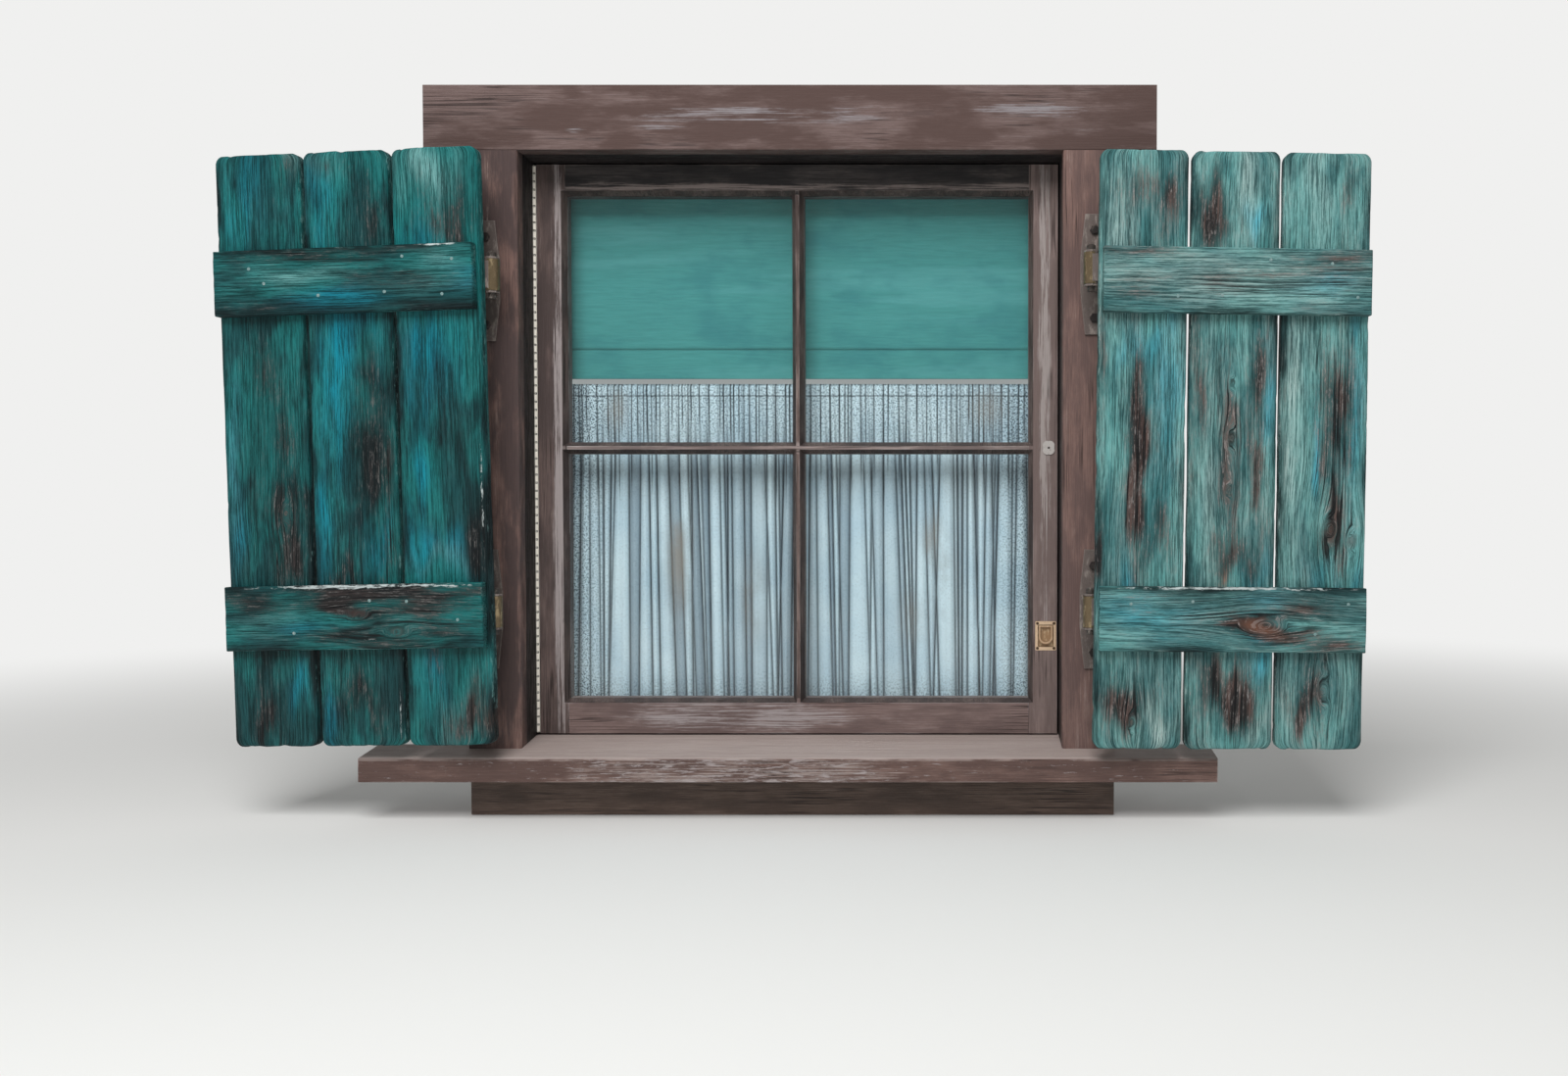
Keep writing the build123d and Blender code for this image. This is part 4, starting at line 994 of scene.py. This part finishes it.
def make_bolts():
    """Hexagonal bolt heads above and below each pair of lugs."""
    spots = []
    for hinge in HINGES:
        low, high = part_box(hinge + "_bracket")
        x = BRACKET_X if hinge.startswith("right") else -BRACKET_X
        spots += [(Vector((x, high.y - BRACKET_THICKNESS, (low.z + high.z) / 2 + offset)), FRONT)
                  for offset in (-BOLT_OFFSET, BOLT_OFFSET)]
    heads("bracket_bolts", "frame", spots, "bolt", "bolt")


def make_strap_screws():
    """Screw heads along the face of each strap that is turned away from the boards."""
    for side in SIDES:
        board_centre = plank_axes(side + "_board_2")[0]
        spots = []
        for strap in [hinge + "_strap" for hinge in HINGES if hinge.startswith(side)]:
            centre, (_, along, out), _ = plank_axes(strap)
            away = out if (centre - board_centre).dot(out) > 0 else -out
            facing = [p for p in nodes[strap].data.polygons if p.normal.dot(away) > 0.99]
            face = max(facing, key=lambda p: p.area)
            for step in STRAP_SCREWS:
                spot = centre + along * step
                spot += away * ((face.center - spot).dot(away) - STRAP_SCREW_SUNK)
                spots.append((spot, away))
        heads(side + "_strap_screws", side + "_shutter", spots, "strap_screw", "bolt")


def make_pull_screws():
    """Four small screws in the corners of the ring pull's plate."""
    low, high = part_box("pull_plate")
    inset = PULL_SCREW_INSET
    spots = [(Vector((x, low.y + 0.1 * MM, z)), FRONT)
             for x in (low.x + inset, high.x - inset) for z in (low.z + inset, high.z - inset)]
    heads("pull_screws", "sash", spots, "pull_screw", "tarnish_and_shade")


# Continuous hinge
KNUCKLE_PITCH = 12.7 * MM
KNUCKLE_GAP = 1.1 * MM
KNUCKLE_RADIUS = 2.3 * MM
LEAF_THICKNESS = 0.9 * MM
LEAF_BEHIND_AXIS = 1.0 * MM
BARREL_SIDES = 14


def knuckle_tree():
    """Every second knuckle of a continuous hinge, with its leaf, which has a finish of its own. The knuckles'
    cores and end faces take the leaf's dark finish, a painted shade in the gaps between knuckles.
    """
    w, given, out = node_group(
        "hinge knuckles", "GeometryNodeTree", {
            "Geometry": "Geometry", "First": "Vector", "Count": "Int", "Pitch": "Float", "Gap": "Float",
            "Radius": "Float", "Finish": "Material", "Leaf finish": "Material"}, {"Geometry": "Geometry"})
    length = w.math("SUBTRACT", given["Pitch"], given["Gap"])
    barrel = w.add("GeometryNodeMeshCylinder", {
        "Vertices": BARREL_SIDES, "Radius": given["Radius"], "Depth": w.times(length, 0.84)})
    # The thinner core takes the leaf's dark finish: painted shade in the gaps between knuckles
    core = w.add("GeometryNodeMeshCylinder", {
        "Vertices": BARREL_SIDES, "Radius": w.times(given["Radius"], 0.62), "Depth": length})
    both = w.join(barrel.outputs["Mesh"], core.outputs["Mesh"])
    step = w.joined(z=w.times(given["Pitch"], 2.0))
    line = w.add("GeometryNodeMeshLine", {
        "Count": given["Count"], "Start Location": given["First"], "Offset": step})
    row = w.add("GeometryNodeInstanceOnPoints", {"Points": line.outputs[0], "Instance": both}).outputs[0]
    real = w.add("GeometryNodeRealizeInstances", {0: row}).outputs[0]
    leaf = w.add("GeometryNodeSetMaterial", {
        "Geometry": w.join(given["Geometry"], real), "Material": given["Leaf finish"]}).outputs[0]
    # The barrels' faces are those whose middle is about one radius from the axis
    away = w.vector("SUBTRACT", w.add("GeometryNodeInputPosition").outputs[0], given["First"])
    distance = w.length(w.vector("MULTIPLY", away, (1.0, 1.0, 0.0)))
    off = w.math("SUBTRACT", w.math("DIVIDE", distance, given["Radius"]), 0.95)
    done = w.add("GeometryNodeSetMaterial", {
        "Geometry": leaf, "Selection": w.math("LESS_THAN", w.math("ABSOLUTE", off), 0.1),
        "Material": given["Finish"]})
    into(w, out, Geometry=done.outputs[0])
    return w.tree


def plate_mesh(name, low, high):
    """Box mesh between two corners."""
    bm = bmesh.new()
    bmesh.ops.create_cube(bm, size=1.0)
    for v in bm.verts:
        v.co = Vector([(low[i] + high[i]) / 2 + v.co[i] * (high[i] - low[i]) for i in range(3)])
    return mesh_of(bm, name)


def make_hinge_knuckles():
    """Both leaves of the sash's continuous hinge."""
    tree = knuckle_tree()
    pin_low, pin_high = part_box("sash_hinge_pin")
    axis = (pin_low + pin_high) / 2
    count = round((pin_high.z - pin_low.z) / KNUCKLE_PITCH)
    for leaf, body, first in (("jamb_hinge_leaf", "frame", 0), ("sash_hinge_leaf", "sash", 1)):
        low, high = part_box(leaf)
        left = low.x if body == "frame" else high.x - LEAF_THICKNESS
        plate = plate_mesh(leaf + "_plate", (left, axis.y + LEAF_BEHIND_AXIS, low.z),
                           (left + LEAF_THICKNESS, high.y, high.z))
        start = Vector((axis.x, axis.y, pin_low.z + (first + 0.5) * KNUCKLE_PITCH))
        by_tree(leaf + "_fine", tree, body, plate, {
            "First": start, "Count": count // 2, "Pitch": KNUCKLE_PITCH, "Gap": KNUCKLE_GAP,
            "Radius": KNUCKLE_RADIUS, "Finish": MATERIALS["piano_hinge_pale_and_highlit"],
            "Leaf finish": MATERIALS["hinge_leaf"]}, [leaf])


# Curtain
CURTAIN_FLAT_WIDTH = 1.05
CURTAIN_COLUMNS = 640
BROAD_REACH = 7.5 * MM      # half width of a broad fold's valley
PLEAT_REACH = 2.6 * MM      # half width of a fine pleat
STITCH_DROP = 1.4 * MM      # of the seam, below the sleeve's foot
# Old stains: x, z, half width, half height and strength
CURTAIN_STAINS = [
    (0.215, 0.37, 0.02, 0.05, 1.0), (0.235, 0.3, 0.014, 0.05, 0.8), (0.18, 0.27, 0.02, 0.04, 0.6),
    (-0.2, 0.365, 0.02, 0.1, 1.0), (-0.079, 0.29, 0.018, 0.06, 0.8), (0.3, 0.6, 0.03, 0.03, 0.6),
    (-0.3, 0.6, 0.02, 0.03, 0.6)]


def fold_lines(seed, low, high, narrow, wide):
    """Fold lines across the curtain: place, share of the depth, lean and share of the length."""
    rng = random.Random(seed)
    lines, x = [], low
    while x < high + wide:
        width = narrow + (wide - narrow) * rng.random() ** 1.7
        lines.append((x, 0.45 + 0.55 * rng.random(), rng.uniform(-1, 1), rng.random()))
        x += width
    return lines


def curtain_profile(low, high, foot, top):
    """Heights up the front of the cloth, over its heading and down behind the rod."""
    def steps(start, end, count, part):
        return [(start + (end - start) * i / count, part) for i in range(1, count + 1)]
    return [(low, "hang"), *steps(low, foot - 3.0 * MM, 52, "hang"), (foot - STITCH_DROP, "hang"),
            (foot, "hang"), *steps(foot, top, 6, "sleeve"), *steps(top, high, 2, "frill"),
            *steps(high, top, 2, "back frill"), *steps(top, foot, 6, "back sleeve")]


def line_depth(x, places, reach):
    """Closeness to the nearest fold line, 1 on the line and 0 at the reach, and that line's number."""
    best, index = reach, 0
    for number, place in enumerate(places):
        if abs(x - place) < best:
            best, index = abs(x - place), number
    return 1 - best / reach, index


def make_curtain():
    """Gathered cafe curtain: folds hang from a stitched sleeve on the rod."""
    low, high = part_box("cafe_curtain")
    rod_low, rod_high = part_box("curtain_rod")
    rod, radius = (rod_low + rod_high) / 2, (rod_high.z - rod_low.z) / 2
    top, foot = rod.z + radius + 1.6 * MM, rod.z - radius - 3.2 * MM
    front = rod.y - radius - 1.2 * MM
    broad = fold_lines(3, low.x, high.x, 6 * MM, 21 * MM)
    fine = fold_lines(8, low.x, high.x, 5 * MM, 19 * MM)
    # Darkness of each strip between broad folds: painted shade on the folds' faces
    tones = [random.Random(k * 31 + 7).random() for k in range(len(broad) + 1)]
    bm = bmesh.new()
    uv = bm.loops.layers.uv.new("cloth")
    layers = {name: bm.verts.layers.float.new(name) for name in ("fold", "stain", "grit", "tone")}

    def row(z, part):
        """Vertices of the cloth at one height, on one part of its profile."""
        hung = max(0.0, foot - z)
        fall = hung / (foot - low.z)
        gather = smooth_step(hung, 0.02, 0.13)
        sway = [x + 0.016 * fall * lean + 0.02 * fall * rough(x * 4.0, 0.0, 5.0) for x, _, lean, _ in broad]
        pleats = [x + 0.004 * fall * lean for x, _, lean, _ in fine]
        stitch = 0.9 if abs(z - foot + STITCH_DROP) < 0.4 * MM and part == "hang" else 0.0
        made = []
        for i in range(CURTAIN_COLUMNS + 1):
            x = low.x + (high.x - low.x) * i / CURTAIN_COLUMNS
            near, k = line_depth(x, sway, BROAD_REACH)
            close, m = line_depth(x, pleats, PLEAT_REACH)
            deep, fine_deep, fine_length = broad[k][1], fine[m][1], fine[m][3]
            short = 1 - smooth_step(hung, 0.02 + 0.09 * fine_length, 0.06 + 0.13 * fine_length)
            valley = max(0.0, near) ** 1.4 * deep * (0.25 + 0.75 * gather)
            pleat = max(0.0, close) ** 1.5 * fine_deep * (0.18 + 0.82 * short)
            rise = 0.5 + 0.5 * rough(x * 30.0, fall * 1.5, 2.0)
            depth = (11.0 * valley + 2.2 * pleat + 1.6 * rise * gather) * MM
            y = {"hang": front - 0.4 * MM + depth * smooth_step(hung, -1 * MM, 6 * MM),
                 "sleeve": front - 0.6 * MM + 0.8 * MM * pleat, "frill": rod.y - 2.4 * MM + 1.2 * MM * pleat,
                 "back frill": rod.y + 1.0 * MM + 1.2 * MM * pleat,
                 "back sleeve": rod.y + radius + 1.3 * MM + 0.6 * MM * pleat}[part]
            v = bm.verts.new((x, min(y, high.y + 1 * MM), z))
            # Painted shade, stored per vertex: the fold valleys, fine pleats and the seam's line
            folded = 3.4 * max(0.0, near - 0.62) * (0.5 + 0.5 * deep) * (0.3 + 0.7 * gather)
            pleat_shade = 4.0 * max(0.0, close - 0.45) * fine_deep * (0.06 + 0.94 * short)
            v[layers["fold"]] = min(1.0, folded + pleat_shade + stitch)
            v[layers["tone"]] = tones[sum(spot < x for spot in sway)] * (0.35 + 0.65 * gather)
            v[layers["stain"]] = mark_at(CURTAIN_STAINS, x, z)
            side = 1 - smooth_step(min(x - low.x, high.x - x), 0.02, 0.11)
            hem = smooth_step(fall, 0.84, 1.0)
            v[layers["grit"]] = min(1.0, (1 - gather) * 0.62 + 0.9 * hem + 0.85 * side)
            made.append(v)
        return made

    profile = curtain_profile(low.z, high.z, foot, top)
    grid = [row(z, part) for z, part in profile]
    run = [0.0]
    for (z, _), (z_next, _) in zip(profile, profile[1:]):
        run.append(run[-1] + abs(z_next - z))
    for j in range(len(grid) - 1):
        for i in range(CURTAIN_COLUMNS):
            corners = ((i, j), (i + 1, j), (i + 1, j + 1), (i, j + 1))
            face = bm.faces.new([grid[b][a] for a, b in corners])
            for loop, (a, b) in zip(face.loops, corners):
                loop[uv].uv = (a / CURTAIN_COLUMNS * CURTAIN_FLAT_WIDTH, run[b])
    bmesh.ops.recalc_face_normals(bm, faces=bm.faces)
    name = "cafe_curtain_cloth"
    made = as_object(name, mesh_of(bm, name), "frame", MATERIALS["curtain"], ["cafe_curtain"])
    thick = made.modifiers.new("thickness", "SOLIDIFY")
    thick.thickness, thick.offset = 0.4 * MM, 0.0


# Roller blind
BLIND_COLUMNS, BLIND_ROWS = 60, 40
ROLL_TURNS, ROLL_STEPS = 5, 40    # turns of the wound cloth, and steps in each turn
ROLL_DEPTH = 3.0 * MM             # of all the turns, under the roll's outside
ROLL_CLOTH = 0.42 * MM


def make_blind():
    """Hanging blind cloth with its hem sleeve, and the roll above it."""
    low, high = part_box("shade_cloth")
    middle = (low.y + high.y) / 2
    bm = bmesh.new()

    def vertex(i, j, side):
        x = low.x + (high.x - low.x) * i / BLIND_COLUMNS
        z = low.z + (high.z - low.z) * j / BLIND_ROWS
        ripple = 0.7 * MM * rough(x * 5.0, z * 3.0, 2.0) * math.sin(math.pi * j / BLIND_ROWS)
        return bm.verts.new((x, middle + ripple + side * 0.25 * MM, z))

    close_sheets(bm, [[[vertex(i, j, side) for i in range(BLIND_COLUMNS + 1)] for j in range(BLIND_ROWS + 1)]
                      for side in (-1, 1)])
    cloth = as_object("blind_sheet", mesh_of(bm, "blind_sheet"), "shade_bar", MATERIALS["blind"],
                      ["shade_cloth"])
    hem = eased("shade_hem", MATERIALS["blind"], 0.8 * MM)
    roll = blind_roll()
    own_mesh(cloth)


def blind_roll():
    """Wound cloth with the spiral of its turns showing at the ends."""
    low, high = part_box("shade_wound_cloth")
    centre, radius = (low + high) / 2, (high.z - low.z) / 2
    count = ROLL_TURNS * ROLL_STEPS
    start = radius - ROLL_DEPTH
    bm = bmesh.new()

    def spiral(x, lift):
        """Vertices along one face of the wound cloth, lifted from its inner face."""
        row = []
        for i in range(count + 1):
            angle = 2 * math.pi * i / ROLL_STEPS + math.pi
            r = start + (radius - ROLL_CLOTH - start) * i / count + lift
            row.append(bm.verts.new((x, centre.y + r * math.cos(angle), centre.z + r * math.sin(angle))))
        return row

    (in_a, out_a), (in_b, out_b) = [[spiral(x, lift) for lift in (0.0, ROLL_CLOTH)] for x in (low.x, high.x)]
    for i in range(count):
        for first, second in ((in_a, in_b), (out_a, out_b), (in_a, out_a), (in_b, out_b)):
            bm.faces.new((first[i], first[i + 1], second[i + 1], second[i]))
    for i in (0, count):
        bm.faces.new((in_a[i], in_b[i], out_b[i], out_a[i]))
    bmesh.ops.recalc_face_normals(bm, faces=bm.faces)
    return as_object("blind_roll", mesh_of(bm, "blind_roll"), "shade_roller", MATERIALS["blind"],
                     ["shade_wound_cloth"])


# Joinery and hardware that keep their CAD form: material, and width of the eased arrises in mm
FINISHES = {
    **{node: (node, 1.5) for node in ("sill", "apron", "head_casing")},
    **{node: (node, 1.2) for node in ("left_casing", "right_casing")},
    **{node: ("head_jamb", 0.8) for node in ("head_jamb", "head_stop")},
    **{node: ("jamb", 0.8) for node in ("left_jamb", "right_jamb", "left_stop", "right_stop")},
    **{node: (node, 1.0) for node in ("left_stile", "right_stile")},
    "vertical_muntin": ("vertical_bar", 0.8), "horizontal_muntin": ("level_bar", 0.8),
    **{node: (node, 1.0) for node in ("top_rail", "bottom_rail")},
    "shade_roller": ("bare", 0.5), "shade_slat": ("bare", 0.4),
    **{hinge + part: finish for hinge in HINGES
       for part, finish in (("_bracket", ("iron", 0.6)), ("_strap", ("barrel", 0.5)))},
    "shutter_hinge_pins": ("pin", 0.4), "pull_plate": ("brass", 0.25), "pull_ring": ("ring", 0.35),
    "stile_plug": ("plug", 0.6), "rod_sockets": ("rod", 0.4), "curtain_rod": ("rod", 0.2),
    "shade_brackets": ("rod", 0.4), "sash_hinge_pin": ("piano_hinge_pale_and_highlit", 0.1),
}
STRAP_EYE_END = 17 * MM    # length of a strap, from the hinge, that keeps the barrel's metal
CUP_DEPTH = 1.4 * MM       # faces further behind the pull's front than this are in its cup


def dress_frame():
    """Eased and painted copies of the joinery and hardware."""
    for node, (finish, width) in FINISHES.items():
        made = eased(node, MATERIALS[finish], width * MM)
        if "strap" in node:
            iron_blade(made, node)
        elif node == "pull_plate":
            darken_cup(made)


def iron_blade(made, node):
    """Painted iron on a strap's blade, so that only its eye keeps the barrel's metal."""
    centre, _, (_, length, _) = plank_axes(node)
    root = 1 if centre.x < 0 else -1
    made.data.materials.append(MATERIALS["iron"])
    for face in made.data.polygons:
        from_hinge = length / 2 - root * (face.center - centre).x
        face.material_index = 1 if from_hinge > STRAP_EYE_END else 0


def darken_cup(plate):
    """Painted shade in the ring pull's cup: dark tarnished brass on its walls and darker, duller brass on its
    floor.
    """
    front = min(v.co.y for v in plate.data.vertices)
    for finish in ("tarnish_and_shade", "cup"):
        plate.data.materials.append(MATERIALS[finish])
    for face in plate.data.polygons:
        if face.center.y > front + CUP_DEPTH:
            face.material_index = 2 if face.normal.y < -0.8 else 1


def dress_panes():
    """Clean glass boxes, and paint on the putty round them."""
    for place in ("lower_left", "lower_right", "upper_left", "upper_right"):
        eased(place + "_pane", MATERIALS["glass"], 0.15 * MM)
        putty = nodes[place + "_putty"].data
        putty.materials.clear()
        putty.materials.append(MATERIALS["putty"])


# Stage
SURROUND = shade(240, 240, 239)
FLOOR_SIZE = 6.0                     # half of its width
FLOOR_FADE = (1.0, 3.6)              # distances between which the floor turns into the surround
SURROUND_LIGHT = (0.42, 1.0)         # strength of the surround on the window, and as it is seen
LAMP_PLACE, LAMP_AIM = (-0.3, -2.6, 2.9), (0.0, 0.0, 0.5)
LAMP_SIZE, LAMP_POWER = 2.0, 122.0
CAMERA_PLACE = (0.2569, -2.109, 0.4375)
CAMERA_TILT = math.radians(88.5)
CAMERA_LENS, CAMERA_SENSOR = 31.5, 36.0
CAMERA_SHIFT = (-0.1125, 0.0044)


def make_stage():
    """Pale floor under the apron, a white surround, one soft lamp and the camera."""
    finish, w = new_material("pale_floor")
    paint = w.add("ShaderNodeBsdfPrincipled", {"Base Color": shade(232, 232, 230), "Roughness": 0.9})
    far = w.between(w.length(w.object_place()), *FLOOR_FADE)
    seen = w.times(far, w.add("ShaderNodeLightPath").outputs["Is Camera Ray"])
    glow = w.add("ShaderNodeEmission", {"Color": SURROUND})
    w.finish(w.add("ShaderNodeMixShader", {0: seen, 1: paint.outputs[0], 2: glow.outputs[0]}).outputs[0])
    mesh = bpy.data.meshes.new("floor")
    level = cad_box[0].z - 0.5 * MM
    corners = [(-1, -1), (1, -1), (1, 1), (-1, 1)]
    mesh.from_pydata([(x * FLOOR_SIZE, y * FLOOR_SIZE, level) for x, y in corners], [], [(0, 1, 2, 3)])
    mesh.materials.append(finish)
    floor = linked("floor", mesh)
    world = bpy.data.worlds.new("surround")
    bpy.context.scene.world = world
    world.use_nodes = True
    world.node_tree.nodes.clear()
    w = Wiring(world.node_tree)
    camera_ray = w.add("ShaderNodeLightPath").outputs["Is Camera Ray"]
    strength = w.between(camera_ray, 0.0, 1.0, *SURROUND_LIGHT)
    light = w.add("ShaderNodeBackground", {"Color": SURROUND, "Strength": strength})
    w.add("ShaderNodeOutputWorld", {0: light.outputs[0]})
    lamp = bpy.data.lights.new("key_lamp", "AREA")
    lamp.size, lamp.energy = LAMP_SIZE, LAMP_POWER
    holder = linked("key_lamp", lamp)
    holder.visible_glossy = False
    holder.location = LAMP_PLACE
    holder.rotation_euler = (Vector(LAMP_AIM) - Vector(LAMP_PLACE)).to_track_quat("-Z", "Y").to_euler()
    camera = bpy.data.cameras.new("camera")
    camera.lens, camera.sensor_width = CAMERA_LENS, CAMERA_SENSOR
    camera.shift_x, camera.shift_y = CAMERA_SHIFT
    holder = linked("camera", camera)
    holder.location = CAMERA_PLACE
    holder.rotation_euler = (CAMERA_TILT, 0.0, 0.0)
    bpy.context.scene.camera = holder
    bpy.context.scene.view_settings.view_transform = "Standard"


dress_frame()
dress_panes()
make_shutters()
make_nails()
make_bolts()
make_strap_screws()
make_hinge_knuckles()
make_pull_screws()
make_curtain()
make_blind()
make_stage()
